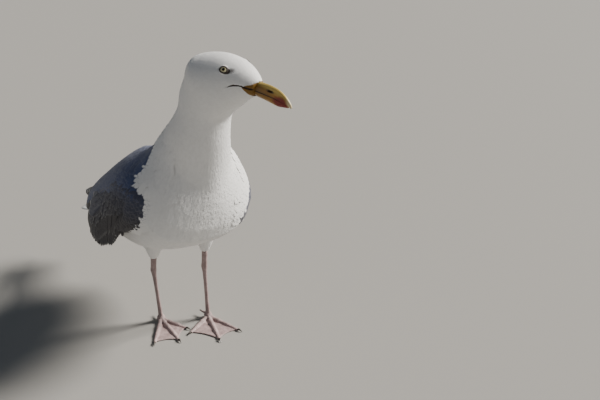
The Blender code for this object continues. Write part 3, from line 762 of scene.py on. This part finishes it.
def add_mantle_coat(whole, finish):
    """The feathers over the back and the wings' upper edges, and white ones over their bends."""
    def wanted(points):
        places = straight(points)
        past, up = past_border(places)
        aside, ahead = np.abs(places[:, 0]), places[:, 1]
        facing_up = whole.nearest(points)[1][:, 2]
        # white: over each wing's bend, and in a narrower band down its front edge
        shoulder = (up > 0.222) & (past > -0.006) & (past < 0.030)
        shoulder |= (up > 0.172) & (past > -0.018) & (past < 0.012)
        # grey: all that faces up, the neck's foot, and the middle of the back
        level = (facing_up > 0.42) | (up > 0.235) & (ahead > 0.0)
        level |= (facing_up > 0.05) & (aside < 0.030)
        back = level & (ahead > -0.125) & (up > 0.165) & (past < 0.014)
        return (shoulder & (aside > 0.034) | back) & (up < 0.300)

    spacing = lambda points: 0.0024 + 0.0006 * between(straight(points)[:, 2], 0.215, 0.235)
    roots, normals = whole.scatter(spacing, wanted)
    places = straight(roots)
    past, up = past_border(places)
    grey = past + rng.normal(0, 0.0012, len(roots)) < 0.0
    low = (1 - between(up, 0.218, 0.236)) * between(places[:, 1], 0.0, 0.02)
    headings = ruffled(roots, normals)
    long = 0.0185 + 0.0085 * between(-places[:, 1], 0.03, 0.09)
    lengths = np.where(grey, long, 0.0095) * rng.uniform(0.82, 1.18, len(roots))
    widths = lengths * np.where(grey, 0.50, 0.56)
    lengths *= np.where(grey, 1 - 0.3 * low, 1.0)
    # Low on the wing's front the feathers turn darker, which is painted shade
    slate = mix(mix(GREY, SHADED_COVERT_GREY, low), LOW_GREY * 1.3, low * (1 - between(up, 0.185, 0.22)))
    slate *= rng.uniform(0.92, 1.08, (len(roots), 1))
    tints = np.where(grey[:, None], slate, WHITE)
    # On the left wing these low feathers also get paler fringes, a painted highlight of a lit edge
    pale = mix(tints, FRINGE, 0.12 + 0.25 * low * (places[:, 0] > 0))
    # White feathers by the grey border get greyer tips: painted shade
    shaded_border_tips = mix(tints, GREY, 0.5 * (1 - between(past, 0.0, 0.008)))
    tips = np.where(grey[:, None], pale, shaded_border_tips)
    for name, slot, use, cut, root_rise, tip_rise in (
            ("coat_mantle", "slate_plumage", grey, SOFT_CUT, -0.0006, 0.0010),
            ("coat_shoulders", "white_plumage", ~grey, SCALE_CUT, -0.0004, 0.0010)):
        grid, along, across = vane_grid(cut, roots[use], normals[use], headings[use],
                                        lengths[use], widths[use])
        rise = root_rise + (tip_rise - root_rise) * along
        points, lie = lay_on(whole, grid, rise, 0.0003, across)
        fits = lies_well(points, lie, grid, least=0.0, most=3.0)
        use[use] = fits
        layers = (layer[fits] for layer in (points, lie, along, across))
        sizes = np.stack((widths / 2, lengths), 1)
        piece = vane_mesh(name, *layers, Colours(tints[use], tips[use], 0.86, 0.14),
                          sizes[use], unwrapped(roots[use]), softness=0.84)
        finish_piece(piece, finish)


def finish_piece(piece, finish):
    """Gives a piece its finish and its body."""
    piece.data.materials.clear()
    piece.data.materials.append(finish.material)
    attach(piece, "root")


# The folded wing, from its bend to its tip: (side, ahead, up) of its top edge and of its bottom
# edge, and how far it bows out between them.
WING = np.array((
    (0.060, 0.056, 0.2255, 0.073, 0.052, 0.1985, 0.004),
    (0.050, 0.036, 0.2505, 0.078, 0.040, 0.1810, 0.016),
    (0.034, 0.004, 0.2595, 0.079, 0.012, 0.1605, 0.027),
    (0.023, -0.034, 0.2465, 0.076, -0.030, 0.1330, 0.032),
    (0.018, -0.070, 0.2235, 0.072, -0.068, 0.1085, 0.034),
    (0.014, -0.105, 0.1995, 0.065, -0.104, 0.1015, 0.031),
    (0.010, -0.142, 0.1755, 0.054, -0.142, 0.0985, 0.023),
    (0.007, -0.183, 0.1495, 0.035, -0.183, 0.1015, 0.012),
    (0.005, -0.226, 0.1255, 0.020, -0.228, 0.1055, 0.004),
    (0.0035, -0.268, 0.1045, 0.0085, -0.270, 0.0975, 0.001)))
WING_AHEAD = (WING[:, 1] + WING[:, 4]) / 2
WING_RUN = unit(np.array((0.0, 1.0, -0.35)))
WING_END_RUN = unit(WING[-2, 3:6] - WING[-1, 3:6])
OUTSIDE = 0.007  # how far out from the bowed surface the wing's face is looked for
BACKWARD = 0.94  # of a feather's length, how much of it takes it backwards


class WingMap:
    """Places on a folded wing by how far ahead they lie and how far down it, from 0 to 1."""

    def __init__(self, side, form):
        self.side, self.form = side, form

    def rows(self, ahead):
        """The wing's two edges and its bow at these places."""
        order = WING_AHEAD[::-1]
        return np.stack([np.interp(ahead, order, WING[::-1, k]) for k in range(7)], -1)

    def span(self, ahead):
        """How far it is down the wing at these places, over its bow."""
        row = self.rows(ahead)
        chord = np.linalg.norm(row[..., 3:6] - row[..., 0:3], axis=-1)
        return np.maximum(chord + 2.6 * row[..., 6] ** 2 / chord, 0.012)

    def hung(self, points):
        """Points of the right wing's shape as this wing's. The left one's bend hangs lower."""
        share = between(points[:, 1:2], BEND_FROM, BEND_TO) * (self.side > 0)
        shift = share * (LEFT_BEND_OUT, 0.0, -LEFT_BEND_DOWN)
        return posed((points + shift) * (self.side, 1, 1))

    def place(self, ahead, down):
        """Points on the wing's outer face, and its normals. Past its edges both go straight on."""
        shape = ahead.shape
        ahead, down = ahead.reshape(-1), down.reshape(-1)
        inside = np.clip(down, 0.015, 0.985)
        row = self.rows(ahead)
        top, low = row[:, 0:3], row[:, 3:6]
        out = unit(np.cross(low - top, WING_RUN))
        out *= np.sign(out[:, :1])
        t, bow = inside[:, None], row[:, 6:7]
        points = top + (low - top) * t + out * bow * 4 * t * (1 - t)
        slope = (low - top) + out * bow * 4 * (1 - 2 * t)
        normal = unit(np.cross(slope, WING_RUN))
        normal *= np.sign((normal * out).sum(1, keepdims=True))
        past = np.clip(ahead - WING[-1, 1], None, 0)[:, None] * WING_END_RUN
        found, normals = self.form.nearest(self.hung(points + normal * OUTSIDE))
        beyond = (down - inside)[:, None] * slope + past
        found += self.hung(points + beyond) - self.hung(points)
        return found.reshape(*shape, 3), normals.reshape(*shape, 3)


def wing_vanes(wing, cut, ahead, down, length, width, drop, rise, crown, tilt):
    """Vanes on a wing from their roots' places. drop is how far down the wing each one goes."""
    count = len(ahead)
    along, across = cut.grid(count)
    ahead, down, length, width, drop = (per_vane(np.broadcast_to(values, count))
                                        for values in (ahead, down, length, width, drop))
    turn = np.arctan(drop * wing.span(ahead) / length)
    aside = across * cut.widths[:, None] * width / 2
    a = ahead - (along * length * np.cos(turn) - aside * np.sin(turn)) * BACKWARD
    d = down + along * drop + aside * np.cos(turn) / wing.span(a)
    places, normals = wing.place(a, d)
    low, high = rise
    height = low + (high - low) * along + crown * (1 - across**2) + tilt * across
    return places + normals * height[..., None], normals, along, across


def scattered(values, spread, count):
    return values + rng.normal(0, spread, count)


def row_along(first, last, step):
    """Places along the wing from first to last, a little uneven."""
    line = np.linspace(first, last, int(abs(last - first) / step))
    return line + rng.uniform(-0.12, 0.12, len(line)) * step


def shaded(base, count, jitter):
    """A colour for each feather, each a little lighter or darker."""
    return np.asarray(base) * rng.uniform(1 - jitter, 1 + jitter, (count, 1))


def fringed(base, count, depth, strength, jitter=0.10):
    """Feather colours with a pale fringe round the tip, each feather a little different."""
    base = shaded(base, count, jitter)
    return Colours(base, mix(base, FRINGE, np.broadcast_to(strength, count)), 1 - depth, depth)


def tipped(base, count, start, tip, jitter=0.05):
    """Feather colours with a clear tip of another colour."""
    return Colours(shaded(base, count, jitter), np.broadcast_to(tip, (count, 3)), start, 0.012)


def add_wing_coat(label, wing, finish):
    """Every tract of one folded wing, from the lowest layer to the highest."""
    def tract(name, cut, ahead, down, length, width, colours, softness=0.3,
              slot="slate_plumage", **shape):
        made = wing_vanes(wing, cut, ahead, down, length, width, **shape)
        layers = (layer[:, :, ::-wing.side] for layer in made)
        patches = 0.03 + 0.94 * np.stack(((ahead + 0.27) / 0.34, np.clip(down, 0, 1)), -1)
        sizes = np.empty((len(ahead), 2))
        sizes[:, 0], sizes[:, 1] = np.divide(width, 2), length
        piece = vane_mesh(f"{name}_{label}_coat", *layers, colours, sizes, patches, softness)
        finish_piece(piece, finish)
        return piece

    order = np.arange(7.0)
    primaries = tract("primaries", FLIGHT_CUT, -0.070 + 0.004 * order, 0.60 - 0.055 * order,
                      (0.200 - 0.010 * order) / BACKWARD, 0.021, tipped(BLACK, 7, 0.972, WHITE),
                      drop=-0.12 + 0.050 * order, rise=(-0.0010, 0.0018), crown=0.0007,
                      tilt=0.0005, slot="black_plumage")
    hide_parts(f"primaries_{label}")
    ahead, down = np.meshgrid(np.arange(0.058, -0.088, -0.0075), np.arange(0.40, 1.06, 0.07))
    use = down < np.interp(ahead, (-0.03, 0.0, 0.04), (0.84, 0.93, 0.93))
    count = np.count_nonzero(use)
    ahead, down = scattered(ahead[use], 0.0012, count), scattered(down[use], 0.012, count)
    # The under coverts, secondaries and greater coverts take the near-black low grey, which is
    # painted shade
    tract("under_coverts", SCALE_CUT, ahead, down, 0.017, 0.012,
          fringed(LOW_GREY, len(ahead), 0.14, 0.1),
          drop=0.12, rise=(-0.0024, -0.0010), crown=0.0005, tilt=0.0003)
    ahead = row_along(0.030, -0.090, 0.0066)
    tract("secondaries", FLIGHT_CUT, ahead,
          np.interp(ahead, (-0.1, -0.02, 0.02), (0.64, 0.68, 0.74)),
          np.interp(ahead, (-0.09, 0.02), (0.054, 0.046)), 0.017,
          tipped(LOW_GREY, len(ahead), 0.965, FRINGE * 0.7),
          drop=np.interp(ahead, (-0.07, -0.035, 0.005, 0.03), (0.25, 0.33, 0.33, 0.25)),
          rise=(-0.0016, -0.0008), crown=0.0006, tilt=0.0006)
    # Fringes fade towards the wing's front, which is painted shade there
    pale = lambda ahead: np.interp(ahead, (-0.02, 0.035), (1.0, 0.15))
    ahead = row_along(0.060, -0.078, 0.0060)
    tract("greater_coverts", SCALE_CUT, ahead, scattered(0.67, 0.012, len(ahead)),
          np.interp(ahead, (0.02, 0.06), (0.036, 0.024)), 0.0135,
          fringed(LOW_GREY * 1.1, len(ahead), 0.12, 0.28 * pale(ahead)),
          drop=0.285, rise=(-0.0014, -0.0004), crown=0.0006, tilt=0.0004)
    levels = ((0.62, 0.022, 0.0115), (0.56, 0.019, 0.0105), (0.49, 0.017, 0.0100),
              (0.42, 0.016, 0.0095), (0.35, 0.0155, 0.0090))
    # Each row higher up the wing is lighter: the lower rows' darkness is painted shade
    for number, (level, length, width) in enumerate(levels):
        ahead = row_along(0.060, -0.072, width * 0.48)
        high = -0.0002 + 0.0002 * number
        tract(f"coverts_{number + 1}", SCALE_CUT, ahead, scattered(level, 0.016, len(ahead)),
              length * rng.uniform(0.88, 1.12, len(ahead)), width,
              fringed(mix(LOW_GREY, SHADED_COVERT_GREY, 0.3 + number * 0.175), len(ahead), 0.13,
                      0.34 * pale(ahead)),
              drop=0.17, rise=(high - 0.0014, high), crown=0.0005, tilt=0.0003)
    order = np.arange(6.0)
    ahead, down = -0.020 - 0.002 * order, 0.56 - 0.09 * order
    tips = np.interp(down + 0.09, (0.02, 0.11, 0.20, 0.29, 0.38, 0.47, 0.56, 0.65),
                     (-0.106, -0.094, -0.084, -0.078, -0.076, -0.079, -0.084, -0.087))
    tract("tertials", FLIGHT_CUT, ahead, down, (ahead - tips) / BACKWARD, 0.026,
          tipped(SHADED_COVERT_GREY, 6, 0.955, WHITE * 0.8),
          drop=0.09, rise=(-0.0010, 0.0002), crown=0.0008, tilt=0.0006)
    for number, (first, level) in enumerate(((0.052, 0.29), (0.047, 0.23), (0.038, 0.16))):
        ahead = row_along(first, -0.072, 0.0068)
        size = np.interp(ahead, (-0.085, 0.0, 0.05), (0.032, 0.027, 0.018))
        tract(f"scapulars_{number + 1}", SCALE_CUT, ahead, scattered(level, 0.01, len(ahead)),
              size, size * 0.52, fringed(GREY, len(ahead), 0.07, 0.16, jitter=0.05),
              softness=0.6, drop=0.17, rise=(-0.0012, 0.0006), crown=0.0005, tilt=0.0003)


# The skin.

FINE_FROM, FINE_UP_FROM = 0.112, 0.33  # the skin's faces are finer ahead of this, above this


def split_finer(mesh, near):
    """Halves the mesh's edges where near is true."""
    bm = bmesh.new()
    bm.from_mesh(mesh)
    points = np.array([v.co for v in bm.verts])
    use = near(points)
    edges = [e for e in bm.edges if use[e.verts[0].index] and use[e.verts[1].index]]
    bmesh.ops.subdivide_edges(bm, edges=edges, cuts=1, use_grid_fill=True)
    bm.verts.ensure_lookup_table()
    points = np.array([v.co for v in bm.verts])
    inside = [v for v, ok in zip(bm.verts, near(points)) if ok]
    bmesh.ops.smooth_vert(bm, verts=inside, factor=0.5, use_axis_x=True, use_axis_y=True,
                          use_axis_z=True)
    bm.to_mesh(mesh)
    bm.free()
    mesh.update()


def folded_mouth(points, normals, places, tints):
    """The skin with the mouth's fold sunk in it and painted dark as shade, and bare round the
    bill's root.
    """
    fold, ahead = gape_gap(places), places[:, 1]
    sink = -FOLD_DEPTH * np.exp(-((fold / FOLD_WIDTH) ** 2))
    sink += FOLD_RIM * np.exp(-((fold - FOLD_RIM_AT) / FOLD_WIDTH) ** 2)
    sink *= between(ahead, 0.1318, 0.1350)
    bare = between(ahead - bare_edge(places[:, 2]), -0.0022, -0.0006)
    speckle = rng.random(len(points))
    tints = mix(tints, BARE_SKIN * (1 - 0.3 * speckle[:, None]), bare)
    # Painted shade along the mouth's fold
    thin = 0.5 + 0.5 * between(ahead, 0.1320, 0.1390)
    dark = 1 - between(fold / thin, 0.0006, 0.0012)
    tints = mix(tints, MOUTH_SHADE, dark * between(ahead, 0.1312, 0.1330))
    return points + normals * sink[:, None], tints


def lidded(eye, points, tints):
    """The skin with lids over this eyeball, up to its opening, and the dark ring on them."""
    out = points - eye.centre
    a, b, h = out @ eye.ahead, out @ eye.up, out @ eye.looks
    almond, reach = np.hypot(a / EYE_OPENING[0], b / EYE_OPENING[1]), np.hypot(a, b)
    use = (h > 0) & (reach < LIDS_REACH)
    snap = use & (almond > 0.72) & (almond < 1.12)
    scale = np.where(snap, 1.0 / np.maximum(almond, 0.1), 1.0)
    a, b, reach = a * scale, b * scale, reach * scale
    almond = np.where(snap, 1.0, almond)
    ball, lid = (np.sqrt(np.maximum(radius**2 - reach**2, 0.0))
                 for radius in (EYE_RADIUS, EYE_RADIUS + LID))
    lid += LID_RIM * np.exp(-((almond - 1.12) / 0.1) ** 2)
    away = between(reach, 0.0050, 0.0072)
    level = np.where(almond < 0.99, ball - SOCKET, lid * (1 - away) + h * away)
    new = eye.centre + a[:, None] * eye.ahead + b[:, None] * eye.up + level[:, None] * eye.looks
    points = np.where(use[:, None], new, points)
    # The ring's near-black on the lids is painted shade over a real ring
    ring = (1 - between(eye.opening(points), RING_EDGE, RING_EDGE + 0.1)) * use
    return points, mix(tints, RING, ring)


def add_skin(finish, body, wings, eyes):
    """One skin under the whole coat, with its eyelids and the mouth's folds."""
    skin = remeshed("skin", joined_copy(*FLESH, *WINGS, *EYEBALLS), cell=0.0024, smoothing=8)
    mesh = skin.data
    front = lambda points: straight(points)[:, 1] > FINE_FROM
    split_finer(mesh, lambda p: front(p) & (p[:, 2] > FINE_UP_FROM))
    for from_eye, from_mouth in ((0.0105, 0.004), (0.0088, 0.0028)):
        split_finer(mesh, lambda p: front(p) & ((eye_gap(p) < from_eye)
                                                | (gape_gap(straight(p)) < from_mouth)))
    points, normals = read_points(mesh)
    places = straight(points)
    root = between(places[:, 1] - bare_edge(places[:, 2]), -0.0030, 0.0004)
    depth = feather_size(points) * SKIN_DEPTH * (1 - root) - 0.0004 * root
    points -= normals * depth[:, None]
    places = straight(points)
    sunk, tints = folded_mouth(points, normals, places, plumage(points, normals))
    for eye in eyes:
        sunk, tints = lidded(eye, sunk, tints)
    # The wings' skin is as dark as their feathers, and grey towards the back.
    for index in np.flatnonzero((places[:, 2] < 0.27) & (places[:, 1] < 0.065)):
        point, (side, ahead, _) = sunk[index].tolist(), places[index]
        to_body = body.tree.find_nearest(point)[3]
        if any(wing.tree.find_nearest(point)[3] < to_body for wing in wings):
            dark = BLACK if ahead < ARM_END else LOW_GREY
            tints[index] = GREY if abs(side) < 0.045 else dark
    mesh.vertices.foreach_set("co", sunk.reshape(-1).astype(np.float32))
    keep_values(mesh, "tint", "FLOAT_COLOR", with_alpha(tints))
    mesh.update()
    mesh.shade_smooth()
    finish_piece(skin, finish)
    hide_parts(*FLESH, *WINGS)


SORTED_ALONG = Vector((1.0, 0.137, 0.0171))  # no two faces' middles lie level along it


def add_eyeball(eye, finish):
    """An eyeball whose poles face outwards and inwards."""
    bm = bmesh.new()
    bmesh.ops.create_uvsphere(bm, u_segments=64, v_segments=40, radius=EYE_RADIUS)
    # the operator's faces come in another order each run, and this sorts them
    bm.faces.sort(key=lambda face: face.calc_center_median().dot(SORTED_ALONG))
    turn = Matrix((eye.ahead, np.cross(eye.looks, eye.ahead), eye.looks)).transposed().to_4x4()
    bmesh.ops.transform(bm, matrix=Matrix.Translation(eye.centre) @ turn, verts=bm.verts)
    mesh = bpy.data.meshes.new(f"eyeball_{eye.label}")
    bm.to_mesh(mesh)
    bm.free()
    mesh.shade_smooth()
    points, _ = read_points(mesh)
    share = np.linalg.norm(np.cross(points - eye.centre, eye.looks), axis=1) / EYE_RADIUS
    share = np.where((points - eye.centre) @ eye.looks > 0, share, 1.0)
    keep_values(mesh, "from_pupil", "FLOAT", share)
    piece = add_object(mesh.name, mesh)
    finish_piece(piece, finish)
    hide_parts(f"eye_{eye.label}")


# The bill.

BILL_BASE = (0.1530, 0.3560)
BILL_LENGTH = 0.0460
BILL_PITCH = math.radians(5.5)
MOUTH_LINE = ((-0.06, 0.1, 0.3, 0.5, 0.66, 0.8, 0.9, 0.955),
              (-0.014, -0.024, -0.037, -0.057, -0.080, -0.110, -0.145, -0.182))


def add_bill_half(label, finish):
    """One half of the bill, rounded, with its places along and across the bill."""
    piece = remeshed(f"{label}_horn", joined_copy(label), cell=0.00036, smoothing=10)
    side, ahead, up = straight(read_points(piece.data)[0]).T
    reach, rise = ahead - BILL_BASE[0], up - BILL_BASE[1]
    along = (reach * math.cos(BILL_PITCH) - rise * math.sin(BILL_PITCH)) / BILL_LENGTH
    high = (reach * math.sin(BILL_PITCH) + rise * math.cos(BILL_PITCH)) / BILL_LENGTH
    spot = np.stack((along, high - np.interp(along, *MOUTH_LINE), side / BILL_LENGTH), 1)
    keep_values(piece.data, "bill_place", "FLOAT_VECTOR", spot)
    finish_piece(piece, finish)
    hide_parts(label)


def add_leg(label, finish):
    """A bare shank and its webbed foot."""
    names = (f"shank_{label}", f"foot_{label}")
    piece = remeshed(f"leg_{label}", joined_copy(*names), cell=0.00065, smoothing=3)
    finish_piece(piece, finish)
    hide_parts(*names)


# The tail: (ahead, up, half its width), from its root to its end.
TAIL = np.array(((-0.100, 0.1435, 0.014), (-0.112, 0.1400, 0.018), (-0.140, 0.1290, 0.025),
                 (-0.180, 0.1140, 0.031), (-0.220, 0.1000, 0.033), (-0.246, 0.0920, 0.034)))
TAIL_ARCH, TAIL_ROUND = 0.004, 0.008


def add_tail(finish):
    """Twelve tail feathers in two fans, the middle pair on top, with white coverts over them."""
    parts = [(share, -0.104, 0.143 - TAIL_ROUND * share**2 * 1.4, 0.0150, 0.0,
              -0.0016 * abs(share)) for share in np.linspace(-1, 1, 12)]
    for share in np.linspace(-0.9, 0.9, 9):
        parts.append((share, -0.100, 0.052, 0.0135, 0.0036, -0.0012 * abs(share)))
        parts.append((share, -0.104, 0.070, 0.0140, -0.0052, 0.0012 * abs(share)))
    sizes = np.array([(width / 2, length) for _, _, length, width, _, _ in parts])
    patches = np.array([(0.05 + 0.9 * (root + 0.11) / 0.02, 0.5 + 0.45 * share)
                        for share, root, *_ in parts])
    along, across = FLIGHT_CUT.grid(len(parts))
    share, root, length, width, lift, stack = (per_vane(v) for v in zip(*parts))
    ahead = root - along * length
    half, up = (np.interp(ahead, TAIL[::-1, 0], TAIL[::-1, k]) for k in (2, 1))
    side = share * (half - 0.005) + FLIGHT_CUT.widths[:, None] * width / 2 * across
    arch = TAIL_ARCH * (side / np.maximum(half, 0.01)) ** 2
    high = (up - arch + stack + lift * (1 - 0.6 * along)
            + 0.0007 * (1 - across**2) - 0.0003 * np.sign(share) * across)
    points = posed(np.stack((side, ahead, high), -1)).reshape(*side.shape, 3)
    tints = WHITE * rng.uniform(0.95, 1.0, (len(parts), 1))
    piece = vane_mesh("tail_coat", points, np.zeros_like(points), along, across, Colours(tints),
                      sizes, np.clip(patches, 0.02, 0.98))
    finish_piece(piece, finish)
    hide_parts("tail")


# Finishes.


def plumage_finish():
    finish = Finish("plumage", Roughness=0.62, Sheen_Weight=0.12, Specular_IOR_Level=0.3)
    across = finish.parts(finish.node("ShaderNodeUVMap", {"uv_map": "vane"}))
    along = across.other(1)
    half_width = finish.parts(finish.attribute("vane_size", "Vector"))
    length, blur = half_width.other(1), half_width.other(2)
    tip = finish.attribute("tip")
    start = tip.other("Alpha")
    reach = along + across * across * (blur * 1.1 + 0.02)
    aside = across.math("ABSOLUTE")
    shaft = (1 - aside.step(0.03, 0.13)) * length.step(0.017, 0.030)
    mottle = finish.noise(260.0, 3.0)
    finish.paint(finish.attribute("tint"),
                 (reach.step(start, start + blur), tip),
                 (shaft * 0.3, (0.3, 0.3, 0.3), "MULTIPLY"),
                 (mottle.step(0.25, 0.8) * 0.10, (0.5, 0.48, 0.46), "MULTIPLY"))
    barbs = ((along * length - aside * half_width * 1.3) * 10500.0).math("SINE")
    finish.bump(barbs, 0.25, 0.00022)
    return finish


def skin_finish():
    finish = Finish("skin", Roughness=0.62, Specular_IOR_Level=0.35)
    grain = finish.noise(900.0, 2.0)
    finish.paint(finish.attribute("tint"),
                 (grain.step(0.3, 0.7) * 0.3, (0.6, 0.58, 0.55), "MULTIPLY"))
    finish.bump(grain, 0.3, 0.0003)
    return finish


def eye_finish():
    finish = Finish("eye", Roughness=0.25, Coat_Weight=0.35, Coat_Roughness=0.04,
                    Specular_IOR_Level=0.3)
    share = finish.attribute("from_pupil", "Fac")
    streak = finish.noise(1600.0, 3.0)
    stops = ((0.0, (0.004, 0.004, 0.005)), (0.235, (0.004, 0.004, 0.005)),
             (0.265, (0.42, 0.30, 0.08)), (0.32, (0.72, 0.66, 0.40)),
             (0.50, (0.74, 0.69, 0.44)), (0.555, (0.45, 0.38, 0.20)),
             (0.60, (0.02, 0.015, 0.012)))
    finish.paint(finish.node("ShaderNodeValToRGB", {"stops": stops}, (share,)),
                 (streak.step(0.35, 0.75) * 0.25, (0.55, 0.48, 0.30), "MULTIPLY"))
    return finish


def bill_finish():
    finish = Finish("bill_horn", Roughness=0.4, Coat_Weight=0.15, Coat_Roughness=0.25)
    along = finish.parts(finish.attribute("bill_place", "Vector"))
    high = along.other(1)
    grain, fine = finish.noise(90.0, 4.0), finish.noise(700.0, 3.0)
    # Darker towards the root, which is painted shade
    base = 1 - along.step(0.0, 0.62)
    # The top lighter: a painted highlight where light falls on it
    lit_ridge = (high + along * 0.10).step(0.12, 0.23)
    tip = (along + high * 0.25).step(0.82, 0.93)
    red = ((along - 0.70) * 5.6).length((high + 0.035) * 7.4) + (grain - 0.5) * 0.7
    # A dark band above the mouth's line near the root: painted shade
    shaded_rim = 1 - (high + (fine - 0.5) * 0.02).step(0.0, 0.075)
    shaded_rim = shaded_rim * high.step(-0.03, 0.0) * (1 - along.step(0.25, 0.72))
    # Dark along the mouth's line: painted shade in the crease
    mouth = 1 - (high + (fine - 0.5) * 0.01).math("ABSOLUTE").step(0.004, 0.022)
    mouth = mouth * (1 - along.step(0.40, 0.85))
    # Dark round the nostril: painted shade in its hollow
    nostril = ((along - 0.42) * 10.0).length((high - 0.117) * 34.0)
    # The sides' dark orange-brown is the bill's yellow with painted shade in it
    finish.paint((0.29, 0.125, 0.008),
                 (grain.step(0.3, 0.75), (0.40, 0.20, 0.018)),
                 (base * 0.72, (0.16, 0.085, 0.014)),
                 (lit_ridge * 0.75, (0.66, 0.50, 0.14)),
                 (tip * 0.9, (0.66, 0.56, 0.34)),
                 (1 - red.step(0.70, 1.35), (0.19, 0.007, 0.003)),
                 (shaded_rim * 0.6, (0.10, 0.050, 0.016)),
                 (mouth * 0.92, (0.040, 0.022, 0.012)),
                 ((1 - nostril.step(0.8, 1.3)) * 0.8, (0.07, 0.045, 0.02)))
    finish.feed(Roughness=0.36 + fine * 0.18)
    finish.bump(grain * 0.7 + fine * 0.3, 0.18, 0.0006)
    return finish


def leg_finish():
    finish = Finish("leg_skin", Roughness=0.5, Specular_IOR_Level=0.4)
    height = finish.parts(finish.object_place()).other(2)
    mottle = finish.noise(160.0, 4.0)
    toes = height.step(0.0022, 0.0050) * (1 - height.step(0.012, 0.02))
    scales = finish.node("ShaderNodeTexVoronoi", {"feature": "DISTANCE_TO_EDGE"},
                         {"Vector": finish.object_place(), "Scale": 520.0})
    scutes = (height * 2400.0 + mottle * 3.0).math("SINE") * height.step(0.012, 0.022)
    finish.paint((0.31, 0.225, 0.22),
                 (mottle.step(0.3, 0.72), (0.46, 0.35, 0.34)),
                 (toes * 0.35, (0.30, 0.235, 0.225)),
                 ((1 - scales.step(0.0, 0.10)) * 0.45, (0.22, 0.15, 0.14)),
                 ((0 - scutes).step(0.5, 1.0) * 0.35, (0.20, 0.14, 0.13)))
    finish.feed(Roughness=0.42 + mottle * 0.2)
    finish.bump(scales.step(0.0, 0.12) * 0.6 + scutes * 0.3, 0.5, 0.0005)
    return finish


def claw_finish():
    finish = Finish("claw_horn", Roughness=0.35)
    grain = finish.noise(420.0, 3.0)
    finish.paint((0.012, 0.010, 0.009), (grain.step(0.3, 0.75), (0.06, 0.045, 0.036)))
    finish.bump(grain, 0.2, 0.0004)
    return finish


# Stage, light and camera.

CAMERA_LENS = 45.6
CAMERA_UP, CAMERA_AWAY = 0.58, 0.866
CAMERA_ROUND = math.radians(-28)
CAMERA_YAW, CAMERA_PITCH = math.radians(10.25), math.radians(25.2)
BETWEEN_FEET = Vector((0.0020, -0.0314, 0.0))


def add_camera():
    camera = bpy.data.objects.new("camera", bpy.data.cameras.new("camera"))
    camera.data.lens = CAMERA_LENS
    camera.data.sensor_width = 36
    away = Vector((math.sin(CAMERA_ROUND), -math.cos(CAMERA_ROUND), 0.0))
    camera.location = BETWEEN_FEET + away * CAMERA_AWAY + Vector((0, 0, CAMERA_UP))
    heading = CAMERA_ROUND - CAMERA_YAW
    camera.rotation_euler = (math.pi / 2 - CAMERA_PITCH, 0.0, heading)
    bpy.context.scene.collection.objects.link(camera)
    bpy.context.scene.camera = camera


KEY_FROM = Vector((0.777, -0.258, 0.574))  # the way to the key light
KEY_STRENGTH, KEY_SPREAD, KEY_COLOUR = 8.5, math.radians(18), (1.0, 0.955, 0.89)
FLOOR_COLOUR = (0.31, 0.30, 0.28)

# How high the backdrop's two tones are, from 0, level, to 1, straight up, and their colours.
HORIZON = (0.06, (0.62, 0.61, 0.59, 1.0))
ZENITH = (0.30, (0.095, 0.115, 0.145, 1.0))


def add_stage():
    bm = bmesh.new()
    bmesh.ops.create_grid(bm, x_segments=1, y_segments=1, size=60.0)
    mesh = bpy.data.meshes.new("floor")
    bm.to_mesh(mesh)
    bm.free()
    floor = add_object("floor", mesh)
    mesh.materials.append(Finish("floor", Roughness=0.9, Base_Color=FLOOR_COLOUR).material)
    world = bpy.data.worlds.new("studio")
    bpy.context.scene.world = world
    world.use_nodes = True
    tree = world.node_tree
    height = tree.nodes.new("ShaderNodeSeparateXYZ")
    tree.links.new(tree.nodes.new("ShaderNodeTexCoord").outputs["Generated"], height.inputs[0])
    band = tree.nodes.new("ShaderNodeValToRGB")
    for stop, tone in zip(band.color_ramp.elements, (HORIZON, ZENITH)):
        stop.position, stop.color = tone
    tree.links.new(height.outputs["Z"], band.inputs[0])
    tree.links.new(band.outputs["Color"], tree.nodes["Background"].inputs["Color"])
    key = bpy.data.lights.new("key", "SUN")
    key.energy, key.angle, key.color = KEY_STRENGTH, KEY_SPREAD, KEY_COLOUR
    lamp = bpy.data.objects.new("key", key)
    lamp.rotation_euler = KEY_FROM.to_track_quat("Z", "Y").to_euler()
    bpy.context.scene.collection.objects.link(lamp)


add_camera()
add_stage()
body_form = form_of((*FLESH, *EYEBALLS, *BILL_HALVES), cell=0.0022, smoothing=8)
wing_forms = [form_of((f"wing_{label}", f"primaries_{label}"), cell=0.0015, smoothing=3)
              for label, _ in SIDES]
whole_form = form_of((*FLESH, *EYEBALLS, *WINGS), cell=0.0028, smoothing=26, closing=0.010)
eyes = [Eye(label, body_form) for label, _ in SIDES]
add_skin(skin_finish(), body_form, wing_forms, eyes)
feather = plumage_finish()
add_body_coat(body_form, wing_forms, eyes, feather)
for (label, side), form in zip(SIDES, wing_forms):
    add_wing_coat(label, WingMap(side, form), feather)
add_mantle_coat(whole_form, feather)
add_tail(feather)
iris = eye_finish()
for eye in eyes:
    add_eyeball(eye, iris)
horn = bill_finish()
for half in BILL_HALVES:
    add_bill_half(half, horn)
leg_skin = leg_finish()
for label, _ in SIDES:
    add_leg(label, leg_skin)
claw = claw_finish()
for name, node in nodes.items():
    if name.startswith("claw"):
        for slot in node.material_slots:
            slot.material = claw.material
